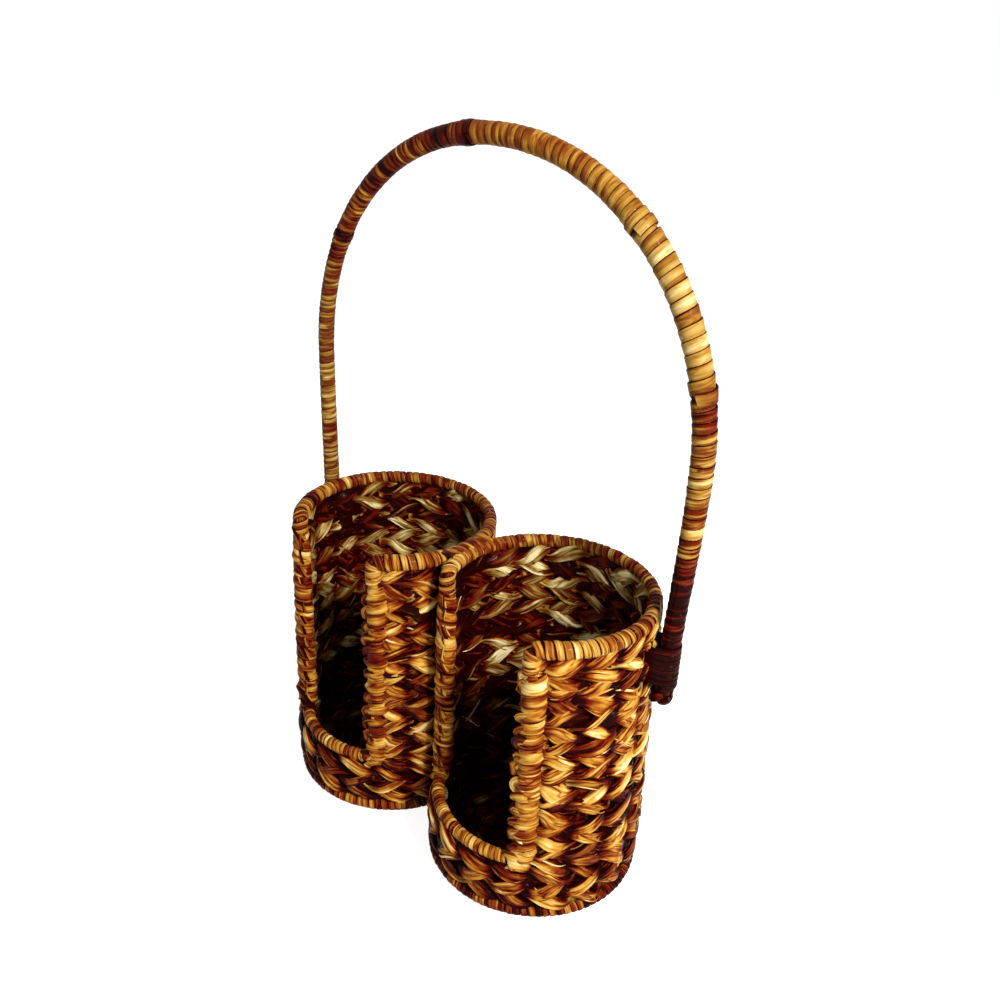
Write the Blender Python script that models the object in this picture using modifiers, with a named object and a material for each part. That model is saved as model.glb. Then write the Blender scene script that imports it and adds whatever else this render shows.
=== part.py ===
"""Open-fronted woven carrier for two bottles.

Two round holders stand side by side. Each has a bent wire frame that follows its rim and the window in
its front, thin wire stakes, a woven wall and floor, and a bound foot ring. A tall wire handle is wrapped
with strands laid end to end and tied through the walls at both feet.

All sizes are in metres and all angles in degrees, with +Z up and the windows facing -Y.
An angle round a holder is measured from the front, and grows towards +X.
"""

import math

import bmesh
import bpy
from mathutils import Matrix, Vector

# Driving sizes
HOLDER_RADIUS = 0.052            # circle that the frame wire and the stakes stand on
HOLDER_HALF_SPACING = HOLDER_RADIUS + 0.0027  # from the middle of the carrier to a holder's axis
RIM_HEIGHT = 0.160               # centre of the wire at the rim
SILL_HEIGHT = 0.035              # centre of the wire under a window
HANDLE_HEIGHT = 0.3652           # centre of the handle rod at its top
WINDOW_ANGLES = {"left": (-43.0, 34.7), "right": (-63.7, 32.2)}
SEAT_GAP = 0.0003                # clearance between pieces that touch

# Wires
FRAME_WIRE_RADIUS = 0.0017
BASE_WIRE_RADIUS = 0.0014
STAKE_RADIUS = 0.0012
SPOKE_RADIUS = 0.0011
SPOKE_ANGLES = {"lower": 45.0, "upper": 135.0}
HANDLE_ROD_RADIUS = 0.0025
SILL_CORNER_RADIUS = 0.008       # bend of the frame wire at the foot of a window
STAKES = 18                      # in each holder
STAKE_PITCH = 360.0 / STAKES     # angle from one stake to the next
STAKE_SIDES = 6
STAKE_BEND = 0.0025

# Strands wound on the wires
FACETS = 8                       # steps in one turn, and sides of a sleeve
RIM_STRAND_THICKNESS = 0.00155
RIM_PITCH = 0.010
SILL_PITCH = 0.0095
HANDLE_STRAND_THICKNESS = 0.0020
HANDLE_TURNS = 12                # turns in each strand of the handle
HANDLE_STRANDS = 5
TURN_GAP = 0.0009                # left between neighbouring turns, along the wire
STRAND_END_ANGLE = 12.0          # left open round the rod where one strand ends and the next starts

# Woven walls and floors, measured from the circle of the stakes
WALL_INNER_RADIUS = HOLDER_RADIUS - 0.004
WALL_FOOT_RADIUS = HOLDER_RADIUS + 0.006    # outside, at the bottom
WALL_TOP_RADIUS = HOLDER_RADIUS + 0.0037    # outside, at the top
WALL_WAIST = 0.0024              # inwards and outwards where strands cross, halfway between stakes
WALL_STEPS = 4                   # from one stake to the next
FLOOR_THICKNESS = 0.0034
FLOOR_EDGE_GAP = 0.0006          # round a floor, to the foot ring and to the wall above its edge

# Foot ring, a channel that is open towards the holder's axis
FOOT_HEIGHT = 0.0062
FOOT_INNER_RADIUS = HOLDER_RADIUS - 0.0019
FOOT_OUTER_RADIUS = HOLDER_RADIUS + 0.0046
FOOT_BEVEL = 0.0017
FOOT_SKIN = 0.0014               # material above and below the base wire
BASE_WIRE_CIRCLE = HOLDER_RADIUS - 0.0005

# Handle
HANDLE_SPRING_HEIGHT = 0.238     # where the legs become the arch
HANDLE_FOOT_DROP = 0.039         # from the rim down to the ends of the rod
HANDLE_BULGE = 0.003             # the arch is this much wider than the feet, on each side
LEG_ANGLES = {"left": 263.8, "right": 107.75}
LEG_CLEARANCE = 0.0011           # between a leg's wrapping and the wall
ARCH_POWER = 2.08                # 2 is an ellipse, more is squarer
KNOT_RADIUS = 0.0055
KNOT_HEIGHT = 0.0060
KNOT_PROFILE_SHARES = ((1.0, 0.3), (0.8, 0.8), (0.3, 1.0))  # of the knot's radius and height, downwards

# Ties at the handle's feet and between the two rims
TIE_STRAND_RADIUS = 0.0011
TIE_TURNS = 4
TIE_STEPS = 6                    # steps in the half turn round a leg
TIE_PITCH = 0.0031
TIE_CORNER_RADIUS = 0.0018
TIE_LIFT = 0.0060                # first turn above the handle's foot
LASHING_STRAND_RADIUS = 0.00085
LASHING_TURNS = 5
LASHING_STEPS = 10               # steps in one turn
LASHING_HALF_LENGTH = 0.012
LASHING_END_ROOM = 0.002

# Fineness of curved pieces, and room for cuts
RING_STEPS = 40
RIM_STEPS = 26
SILL_STEPS = 8
GUIDE_STEP = 6.0                 # angle between the points that a rim's binding follows
CORNER_STEPS = 3
ARCH_STEPS = 30
LEG_STEPS = 4
CUT_OVERRUN = 0.004
CUTTER_STEP = 10.0               # angle between the bends of a curved cutter
WELD = 0.00001

SIDES = {"left": -1.0, "right": 1.0}
UP = Vector((0.0, 0.0, 1.0))

RIM_WRAP_INNER = (FRAME_WIRE_RADIUS + SEAT_GAP) / math.cos(math.pi / FACETS)
RIM_WRAP_RADIUS = RIM_WRAP_INNER + RIM_STRAND_THICKNESS
HANDLE_WRAP_INNER = (HANDLE_ROD_RADIUS + SEAT_GAP) / math.cos(math.pi / FACETS)
HANDLE_WRAP_RADIUS = HANDLE_WRAP_INNER + HANDLE_STRAND_THICKNESS
RIM_CORNER_RADIUS = RIM_WRAP_RADIUS + SEAT_GAP
WALL_BOTTOM = FOOT_HEIGHT + SEAT_GAP
WALL_TOP = RIM_HEIGHT - RIM_CORNER_RADIUS
HANDLE_FOOT_HEIGHT = RIM_HEIGHT - HANDLE_FOOT_DROP

STRAW = (0.47, 0.27, 0.08)
BARK = (0.30, 0.14, 0.04)
DARK_BARK = (0.16, 0.07, 0.03)
RUSTED_WIRE = (0.10, 0.07, 0.05)


def start_empty():
    for old in list(bpy.data.objects):
        bpy.data.objects.remove(old)


def new_collection(name, hidden=False):
    made = bpy.data.collections.new(name)
    made.hide_render = hidden
    bpy.context.scene.collection.children.link(made)
    return made


def new_material(name, colour, roughness, metallic):
    made = bpy.data.materials.new(name)
    made.use_nodes = True
    shader = made.node_tree.nodes["Principled BSDF"]
    shader.inputs["Base Color"].default_value = (*colour, 1.0)
    shader.inputs["Roughness"].default_value = roughness
    shader.inputs["Metallic"].default_value = metallic
    made.diffuse_color = (*colour, 1.0)
    return made


def add_object(name, data, collection, material=None):
    made = bpy.data.objects.new(name, data)
    collection.objects.link(made)
    if material is not None:
        made.data.materials.append(material)
    return made


def add_cutter(name, mesh):
    made = add_object(name, mesh, CUTTERS)
    made.hide_render = True
    made.display_type = "WIRE"
    return made


def evaluated_mesh(source):
    """A closed mesh of what the viewport shows of an object, in world coordinates. The object is removed."""
    bpy.context.view_layer.update()
    depsgraph = bpy.context.evaluated_depsgraph_get()
    mesh = bpy.data.meshes.new_from_object(source.evaluated_get(depsgraph))
    mesh.transform(source.matrix_world)
    bpy.data.objects.remove(source)
    body = bmesh.new()
    body.from_mesh(mesh)
    bmesh.ops.remove_doubles(body, verts=body.verts, dist=WELD)
    bmesh.ops.recalc_face_normals(body, faces=body.faces)
    body.to_mesh(mesh)
    body.free()
    return mesh


def smooth(mesh, angle=40.0):
    mesh.shade_smooth()
    mesh.set_sharp_from_angle(angle=math.radians(angle))


def poly_curve(name, points, collection, radius=0.0, sides=6, cyclic=False):
    """A curve straight from point to point, with a wire of this radius and an even number of sides on it."""
    curve = bpy.data.curves.new(name, "CURVE")
    curve.dimensions = "3D"
    curve.bevel_depth = radius
    curve.bevel_resolution = sides // 2 - 2
    curve.use_fill_caps = True
    spline = curve.splines.new("POLY")
    spline.points.add(len(points) - 1)
    for place, point in zip(spline.points, points):
        place.co = (*point, 1.0)
    spline.use_cyclic_u = cyclic
    spline.use_smooth = True
    return add_object(name, curve, collection)


def turned(name, profile, steps, collection, material=None):
    """A ring turned about Z from a closed profile of (radius, height), which starts down its outer side."""
    mesh = bpy.data.meshes.new(name)
    body = bmesh.new()
    corners = [body.verts.new((radius, 0.0, height)) for radius, height in profile]
    for first, second in zip(corners, corners[1:] + corners[:1]):
        body.edges.new((first, second))
    body.to_mesh(mesh)
    body.free()
    made = add_object(name, mesh, collection, material)
    screw = made.modifiers.new("turn", "SCREW")
    screw.steps = steps
    screw.render_steps = steps
    screw.use_merge_vertices = True
    screw.merge_threshold = WELD
    screw.use_smooth_shade = False
    return made


def cut(target, cutter):
    boolean = target.modifiers.new(cutter.name, "BOOLEAN")
    boolean.operation = "DIFFERENCE"
    boolean.solver = "EXACT"
    boolean.object = cutter


def round_holder(side, angle, height, radius=HOLDER_RADIUS):
    """The point at this angle and height round a holder."""
    turn = math.radians(angle)
    middle = SIDES[side] * HOLDER_HALF_SPACING
    return Vector((middle + radius * math.sin(turn), -radius * math.cos(turn), height))


def arc_angle(length):
    """The angle that this length along the frame wire's circle takes up."""
    return math.degrees(length / HOLDER_RADIUS)


def smoothstep(share):
    return share * share * (3.0 - 2.0 * share)


def corner(side, angle, height, radius, start, towards):
    """Points round a bend of the frame wire, whose centre lies radius away from this angle and height."""
    points = []
    for step in range(1, CORNER_STEPS):
        turn = math.radians(start + towards * 90.0 * step / CORNER_STEPS)
        points.append(
            round_holder(side, angle + arc_angle(radius * math.cos(turn)), height + radius * math.sin(turn))
        )
    return points


def frame_path(side):
    """The closed line of a holder's frame wire: round the rim, down, along the sill and up again."""
    first, last = WINDOW_ANGLES[side]
    rim_inset = arc_angle(RIM_CORNER_RADIUS)
    sill_inset = arc_angle(SILL_CORNER_RADIUS)
    rim_start, rim_end = last + rim_inset, first + 360.0 - rim_inset
    points = [
        round_holder(side, rim_start + (rim_end - rim_start) * step / RIM_STEPS, RIM_HEIGHT)
        for step in range(RIM_STEPS + 1)
    ]
    bend = RIM_HEIGHT - RIM_CORNER_RADIUS
    points += corner(side, first - rim_inset, bend, RIM_CORNER_RADIUS, 90.0, -1.0)
    points.append(round_holder(side, first, bend))
    bend = SILL_HEIGHT + SILL_CORNER_RADIUS
    points.append(round_holder(side, first, bend))
    points += corner(side, first + sill_inset, bend, SILL_CORNER_RADIUS, 180.0, 1.0)
    sill_start, sill_end = first + sill_inset, last - sill_inset
    points += [
        round_holder(side, sill_start + (sill_end - sill_start) * step / SILL_STEPS, SILL_HEIGHT)
        for step in range(SILL_STEPS + 1)
    ]
    points += corner(side, last - sill_inset, bend, SILL_CORNER_RADIUS, 270.0, 1.0)
    points.append(round_holder(side, last, bend))
    bend = RIM_HEIGHT - RIM_CORNER_RADIUS
    points.append(round_holder(side, last, bend))
    points += corner(side, last + rim_inset, bend, RIM_CORNER_RADIUS, 180.0, -1.0)
    return points


def wall_radius(height):
    """The outside radius of a wall at this height."""
    share = (height - WALL_BOTTOM) / (WALL_TOP - WALL_BOTTOM)
    return WALL_FOOT_RADIUS + (WALL_TOP_RADIUS - WALL_FOOT_RADIUS) * share


def handle_foot(side):
    """Where the centre of the handle rod ends, just outside its holder's wall."""
    reach = wall_radius(HANDLE_FOOT_HEIGHT) + LEG_CLEARANCE + HANDLE_WRAP_RADIUS
    return round_holder(side, LEG_ANGLES[side], HANDLE_FOOT_HEIGHT, reach)


def handle_half_span():
    """The widest half width of the arch, to the rod's centre."""
    return (handle_foot("right").x - handle_foot("left").x) / 2.0 + HANDLE_BULGE


def handle_point(across, height):
    """A point of the handle's plane, which is upright and holds both feet."""
    left, right = handle_foot("left"), handle_foot("right")
    share = (across - left.x) / (right.x - left.x)
    return Vector((across, left.y + (right.y - left.y) * share, height))


def leg_point(side, height):
    """The centre of a leg of the handle at this height."""
    share = (HANDLE_SPRING_HEIGHT - height) / (HANDLE_SPRING_HEIGHT - HANDLE_FOOT_HEIGHT)
    inset = handle_half_span() - abs(handle_foot(side).x)
    return handle_point(SIDES[side] * (handle_half_span() - inset * smoothstep(share)), height)


def handle_path():
    """The centre line of the handle, from the left foot over the arch to the right foot."""
    rise = HANDLE_SPRING_HEIGHT - HANDLE_FOOT_HEIGHT
    levels = [HANDLE_FOOT_HEIGHT + rise * step / LEG_STEPS for step in range(LEG_STEPS)]
    line = [leg_point("left", level) for level in levels]
    crown = HANDLE_HEIGHT - HANDLE_SPRING_HEIGHT
    power = 2.0 / ARCH_POWER
    for step in range(ARCH_STEPS + 1):
        turn = math.pi * step / ARCH_STEPS
        reach = handle_half_span() * abs(math.cos(turn)) ** power
        line.append(handle_point(math.copysign(reach, -math.cos(turn)),
                                 HANDLE_SPRING_HEIGHT + crown * math.sin(turn) ** power))
    return line + [leg_point("right", level) for level in reversed(levels)]


def path_length(points):
    return sum((second - first).length for first, second in zip(points, points[1:]))


def wind(name, guide, turns, pitch, inner, thickness, material, lead=0.0):
    """A flat strand wound round a guide curve in one unbroken helix, which starts lead turns along it."""
    mesh = bpy.data.meshes.new(name)
    body = bmesh.new()
    low = lead * pitch
    high = low + pitch - TURN_GAP
    section = [(inner + thickness, high), (inner + thickness, low), (inner, low), (inner, high)]
    corners = [body.verts.new((radius, 0.0, height)) for radius, height in section]
    for first, second in zip(corners, corners[1:] + corners[:1]):
        body.edges.new((first, second))
    body.transform(Matrix.Rotation(2.0 * math.pi * lead, 4, "Z"))
    body.to_mesh(mesh)
    body.free()
    straight = add_object(name + "_straight", mesh, CUTTERS)
    screw = straight.modifiers.new("wind", "SCREW")
    screw.steps = FACETS
    screw.render_steps = FACETS
    screw.iterations = turns
    screw.screw_offset = pitch
    screw.use_merge_vertices = False
    mesh = evaluated_mesh(straight)
    mesh.name = name
    body = bmesh.new()
    body.from_mesh(mesh)
    bmesh.ops.holes_fill(body, edges=[edge for edge in body.edges if edge.is_boundary])
    bmesh.ops.recalc_face_normals(body, faces=body.faces)
    body.to_mesh(mesh)
    body.free()
    wound = add_object(name, mesh, CUTTERS)
    follow = wound.modifiers.new("follow", "CURVE")
    follow.object = guide
    follow.deform_axis = "POS_Z"
    mesh = evaluated_mesh(wound)
    smooth(mesh)
    print_gap(name, section_gaps(mesh))
    return add_object(name, mesh, PARTS, material)


def print_gap(name, gaps):
    print(f"{name}: least gap between turns {min(gaps) * 1000.0:.2f} mm")


def section_gaps(mesh):
    """Distances between the corners of a wound strip's sections and those one turn further on."""
    corners = [vertex.co for vertex in mesh.vertices]
    sections = [corners[start:start + 4] for start in range(0, len(corners), 4)]
    for section, above in zip(sections, sections[FACETS:]):
        yield from ((a - b).length for a in section for b in above)


def strand_gaps(points, steps, radius):
    """Clear distances between the points of a round strand's centre line that are a turn or so apart."""
    for index, point in enumerate(points):
        for other in points[index + steps // 2:index + steps * 3 // 2]:
            yield (point - other).length - 2.0 * radius


def wind_along(name, points, pitch, material):
    """A strand wound on the frame wire along these points, with whole turns that fill the length."""
    guide = poly_curve(name + "_guide", points, CUTTERS)
    guide.hide_render = True
    length = path_length(points)
    turns = max(1, round(length / pitch) - 1)
    fitted = (length + TURN_GAP) / (turns + 1)
    return wind(name, guide, turns, fitted, RIM_WRAP_INNER, RIM_STRAND_THICKNESS, material)


def wind_rim(name, side, start, end, material):
    """A strand wound on the rim between two angles."""
    steps = math.ceil((end - start) / GUIDE_STEP)
    angles = [start + (end - start) * step / steps for step in range(steps + 1)]
    points = [round_holder(side, angle, RIM_HEIGHT) for angle in angles]
    wind_along(name, points, RIM_PITCH, material)


def lashing_angle():
    """Half the angle that the lashing between the rims takes up, with the room at its ends."""
    return math.degrees(math.asin((LASHING_HALF_LENGTH + LASHING_END_ROOM) / HOLDER_RADIUS))


def add_frame(side, material):
    mesh = evaluated_mesh(
        poly_curve(side + "_wire", frame_path(side), CUTTERS, FRAME_WIRE_RADIUS, cyclic=True)
    )
    smooth(mesh)
    add_object(side + "_frame_wire", mesh, PARTS, material)


def add_rim_wraps(side, material):
    """The rim is bound on both sides of the lashing, which takes the place of the binding there."""
    first, last = WINDOW_ANGLES[side]
    inset = arc_angle(RIM_CORNER_RADIUS)
    start, end = last + inset, first + 360.0 - inset
    touching = 90.0 if side == "left" else 270.0
    before, after = touching - lashing_angle(), touching + lashing_angle()
    names = ("_rim_wrap_front", "_rim_wrap") if side == "left" else ("_rim_wrap", "_rim_wrap_front")
    wind_rim(side + names[0], side, start, before, material)
    wind_rim(side + names[1], side, after, end, material)


def add_sill_wrap(side, material):
    first, last = WINDOW_ANGLES[side]
    inset = arc_angle(SILL_CORNER_RADIUS + 2.0 * SEAT_GAP)
    start, end = first + inset, last - inset
    points = [round_holder(side, start + (end - start) * step / SILL_STEPS, SILL_HEIGHT)
              for step in range(SILL_STEPS + 1)]
    wind_along(side + "_sill_wrap", points, SILL_PITCH, material)


def add_window_edges(side, material):
    """Sleeves where the wall's strands turn back round the wires of a window, from the rim to the sill."""
    high = RIM_HEIGHT - RIM_CORNER_RADIUS
    low = SILL_HEIGHT + SILL_CORNER_RADIUS
    inset = arc_angle(SILL_CORNER_RADIUS)
    for name, angle, way, start in zip(("left", "right"), WINDOW_ANGLES[side], (1.0, -1.0), (180.0, 0.0)):
        foot = angle + way * inset
        bend = corner(side, foot, low, SILL_CORNER_RADIUS, start, way)
        line = [round_holder(side, angle, high), round_holder(side, angle, low), *bend]
        line.append(round_holder(side, foot, SILL_HEIGHT))
        mesh = evaluated_mesh(poly_curve("edge_line", line, CUTTERS, RIM_WRAP_RADIUS, FACETS))
        smooth(mesh)
        sleeve = add_object(f"{side}_window_{name}_edge", mesh, PARTS, material)
        line[0] = round_holder(side, angle, high + CUT_OVERRUN)
        line.append(round_holder(side, foot + way * arc_angle(CUT_OVERRUN), SILL_HEIGHT))
        bore = evaluated_mesh(poly_curve("bore_line", line, CUTTERS, RIM_WRAP_INNER, FACETS))
        cut(sleeve, add_cutter(f"{side}_window_{name}_bore", bore))


def stake_tops(side):
    """The angle and the top of each stake in order round a holder. Those under the window are short."""
    first, last = WINDOW_ANGLES[side]
    angles = sorted((LEG_ANGLES[side] + STAKE_PITCH * count - first) % 360.0 for count in range(STAKES))
    sill = SILL_HEIGHT - RIM_CORNER_RADIUS
    return [(first + angle, sill if angle < last - first else WALL_TOP) for angle in angles]


def stake_line(side, pair, overrun=0.0):
    """The line of one wire that is bent like a hairpin and makes two stakes, its bend down at the foot."""
    low = WALL_BOTTOM + STAKE_RADIUS
    bend = arc_angle(STAKE_BEND)
    (first, first_top), (second, second_top) = pair
    return [
        round_holder(side, first, first_top + overrun),
        round_holder(side, first, low + STAKE_BEND),
        round_holder(side, first + bend, low),
        round_holder(side, (first + second) / 2.0, low),
        round_holder(side, second - bend, low),
        round_holder(side, second, low + STAKE_BEND),
        round_holder(side, second, second_top + overrun),
    ]


def add_stakes(side, material):
    """The stakes, two to a wire, and a cutter for the room that they take in the wall."""
    stakes = stake_tops(side)
    pairs = list(zip(stakes[::2], stakes[1::2]))
    bore = (STAKE_RADIUS + SEAT_GAP) / math.cos(math.pi / STAKE_SIDES)
    bores = bmesh.new()
    for count, pair in enumerate(pairs):
        line = stake_line(side, pair)
        mesh = evaluated_mesh(poly_curve("stake_line", line, CUTTERS, STAKE_RADIUS, STAKE_SIDES))
        smooth(mesh)
        add_object(f"{side}_stakes_{count + 1}", mesh, PARTS, material)
        line = stake_line(side, pair, CUT_OVERRUN)
        bores.from_mesh(evaluated_mesh(poly_curve("bore_line", line, CUTTERS, bore, STAKE_SIDES)))
    mesh = bpy.data.meshes.new("bores")
    bores.to_mesh(mesh)
    bores.free()
    return add_cutter(side + "_stake_bores", mesh)


def window_cutter(side):
    """A plate with the window's outline, bent round the holder and thicker than the wall."""
    first, last = WINDOW_ANGLES[side]
    outset = RIM_CORNER_RADIUS
    left = math.radians(first) * HOLDER_RADIUS - outset
    right = math.radians(last) * HOLDER_RADIUS + outset
    bottom, top = SILL_HEIGHT - outset, RIM_HEIGHT + CUT_OVERRUN
    bend = SILL_CORNER_RADIUS + outset
    outline = [(right, top), (left, top)]
    for centre, start in ((left + bend, 180.0), (right - bend, 270.0)):
        for step in range(CORNER_STEPS + 1):
            turn = math.radians(start + 90.0 * step / CORNER_STEPS)
            outline.append((centre + bend * math.cos(turn), bottom + bend + bend * math.sin(turn)))
    plate = poly_curve(side + "_window_outline", [(x, y, 0.0) for x, y in outline], CUTTERS, cyclic=True)
    plate.data.dimensions = "2D"
    plate.data.fill_mode = "BOTH"
    plate.data.extrude = WALL_FOOT_RADIUS - HOLDER_RADIUS + CUT_OVERRUN
    mesh = evaluated_mesh(plate)
    body = bmesh.new()
    body.from_mesh(mesh)
    step = math.radians(CUTTER_STEP) * HOLDER_RADIUS
    for count in range(math.ceil(left / step), math.floor(right / step) + 1):
        everything = body.verts[:] + body.edges[:] + body.faces[:]
        middle = (count * step, 0.0, 0.0)
        bmesh.ops.bisect_plane(body, geom=everything, plane_co=middle, plane_no=(1.0, 0.0, 0.0))
    for vertex in body.verts:
        angle = math.degrees(vertex.co.x / HOLDER_RADIUS)
        vertex.co = round_holder(side, angle, vertex.co.y, HOLDER_RADIUS + vertex.co.z)
    bmesh.ops.triangulate(body, faces=body.faces)
    bmesh.ops.recalc_face_normals(body, faces=body.faces)
    body.to_mesh(mesh)
    body.free()
    return add_cutter(side + "_window", mesh)


def box_mesh(name, size, place):
    """A box of this size, centred on and turned by this matrix."""
    body = bmesh.new()
    bmesh.ops.create_cube(body, size=1.0, matrix=place @ Matrix.Diagonal((*size, 1.0)))
    mesh = bpy.data.meshes.new(name)
    body.to_mesh(mesh)
    body.free()
    return mesh


def contact_cutter(side):
    """A block past the middle of the carrier, where the two holders are pressed flat against each other."""
    depth = HOLDER_HALF_SPACING
    size = (depth, WALL_FOOT_RADIUS * 2.0, RIM_HEIGHT + CUT_OVERRUN * 2.0)
    middle = -SIDES[side] * (depth - SEAT_GAP) / 2.0
    place = Matrix.Translation((middle, 0.0, RIM_HEIGHT / 2.0))
    return add_cutter(side + "_contact", box_mesh("contact", size, place))


def tie_height_range():
    low = HANDLE_FOOT_HEIGHT + TIE_LIFT
    return low, low + TIE_PITCH * TIE_TURNS


def tie_frame(side):
    """The way out of the holder at its handle foot, and the way along the wall there."""
    turn = math.radians(LEG_ANGLES[side])
    return Vector((math.sin(turn), -math.cos(turn), 0.0)), Vector((math.cos(turn), math.sin(turn), 0.0))


def tie_half_width():
    """Half the width of a tie's turns, whose corners stand a little outside the circle that they go round."""
    return (HANDLE_WRAP_RADIUS + SEAT_GAP + TIE_STRAND_RADIUS) / math.cos(math.pi / TIE_STEPS / 2.0)


def add_tie(side, material):
    """Turns that pass round a leg and through two slits in the wall, on both sides of a stake."""
    outwards, along = tie_frame(side)
    axis = Vector((SIDES[side] * HOLDER_HALF_SPACING, 0.0, 0.0))
    half = tie_half_width()
    reach = WALL_INNER_RADIUS - SEAT_GAP - TIE_STRAND_RADIUS
    inside = math.sqrt(reach * reach - half * half)
    low, high = tie_height_range()
    points = []
    for count in range(TIE_TURNS):
        loop = []
        for step in range(TIE_STEPS + 1):
            turn = math.pi * (step / TIE_STEPS - 0.5)
            loop.append(("leg", half * math.cos(turn), half * math.sin(turn)))
        loop.append(("wall", inside, half))
        loop.append(("wall", reach - TIE_CORNER_RADIUS, half - TIE_CORNER_RADIUS))
        loop.append(("wall", reach - TIE_CORNER_RADIUS, TIE_CORNER_RADIUS - half))
        loop.append(("wall", inside, -half))
        for index, (kind, out, across) in enumerate(loop):
            height = low + TIE_PITCH * (count + index / len(loop))
            centre = leg_point(side, height) if kind == "leg" else axis + UP * height
            centre = Vector((centre.x, centre.y, height))
            points.append(centre + outwards * out + along * across)
    mesh = evaluated_mesh(poly_curve(side + "_tie_line", points, CUTTERS, TIE_STRAND_RADIUS))
    smooth(mesh)
    add_object(side + "_handle_tie", mesh, PARTS, material)
    print_gap(f"{side}_handle_tie", strand_gaps(points, len(points) // TIE_TURNS, TIE_STRAND_RADIUS))
    return slit_cutter(side, outwards, along, axis)


def slit_cutter(side, outwards, along, axis):
    """Two narrow slits through the wall for the turns of a tie."""
    low, high = tie_height_range()
    width = 2.0 * (TIE_STRAND_RADIUS + SEAT_GAP)
    depth = WALL_FOOT_RADIUS - WALL_INNER_RADIUS + 2.0 * CUT_OVERRUN
    size = (depth, width, high - low + width + TIE_PITCH)
    turned_to = Matrix((outwards, along, UP)).transposed().to_4x4()
    body = bmesh.new()
    middle = axis + outwards * HOLDER_RADIUS + UP * ((low + high) / 2.0)
    for way in (-1.0, 1.0):
        centre = middle + along * (way * tie_half_width())
        bmesh.ops.create_cube(
            body, size=1.0, matrix=Matrix.Translation(centre) @ turned_to @ Matrix.Diagonal((*size, 1.0))
        )
    mesh = bpy.data.meshes.new("slits")
    body.to_mesh(mesh)
    body.free()
    return add_cutter(side + "_tie_slits", mesh)


def add_wall(side, cutters, material):
    """The wall is thick at each stake, where one strand lies outside and one inside, and thin between."""
    profile = [
        (WALL_TOP_RADIUS, WALL_TOP),
        (WALL_FOOT_RADIUS, WALL_BOTTOM),
        (WALL_INNER_RADIUS, WALL_BOTTOM),
        (WALL_INNER_RADIUS, WALL_TOP),
    ]
    mesh = evaluated_mesh(turned(side + "_wall", profile, STAKES * WALL_STEPS, CUTTERS))
    body = bmesh.new()
    body.from_mesh(mesh)
    for vertex in body.verts:
        angle = math.degrees(math.atan2(vertex.co.x, -vertex.co.y)) - 90.0 + LEG_ANGLES[side]
        radius = math.hypot(vertex.co.x, vertex.co.y)
        waist = HOLDER_RADIUS + math.copysign(WALL_WAIST, radius - HOLDER_RADIUS)
        swing = abs(math.cos(math.pi * (angle - LEG_ANGLES[side]) / STAKE_PITCH))
        vertex.co = round_holder(side, angle, vertex.co.z, waist + (radius - waist) * swing)
    bmesh.ops.triangulate(body, faces=body.faces)
    body.to_mesh(mesh)
    body.free()
    smooth(mesh)
    wall = add_object(side + "_wall", mesh, PARTS, material)
    for cutter in cutters:
        cut(wall, cutter)


def add_foot(side, contact, material, wire_material):
    """The bound ring that the holder stands on, and the base wire in its channel."""
    top, outer = FOOT_HEIGHT, FOOT_OUTER_RADIUS
    channel = BASE_WIRE_CIRCLE + BASE_WIRE_RADIUS + SEAT_GAP
    profile = [
        (outer - FOOT_BEVEL, top),
        (outer, top - FOOT_BEVEL),
        (outer, FOOT_BEVEL),
        (outer - FOOT_BEVEL, 0.0),
        (FOOT_INNER_RADIUS, 0.0),
        (FOOT_INNER_RADIUS, FOOT_SKIN),
        (channel, FOOT_SKIN),
        (channel, top - FOOT_SKIN),
        (FOOT_INNER_RADIUS, top - FOOT_SKIN),
        (FOOT_INNER_RADIUS, top),
    ]
    ring = turned(side + "_foot_ring", profile, RING_STEPS, PARTS, material)
    ring.location.x = SIDES[side] * HOLDER_HALF_SPACING
    cut(ring, contact)
    angles = [360.0 * step / RING_STEPS for step in range(RING_STEPS)]
    points = [round_holder(side, angle, top / 2.0, BASE_WIRE_CIRCLE) for angle in angles]
    mesh = evaluated_mesh(poly_curve(side + "_hoop", points, CUTTERS, BASE_WIRE_RADIUS, cyclic=True))
    smooth(mesh)
    add_object(side + "_base_wire", mesh, PARTS, wire_material)


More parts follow.
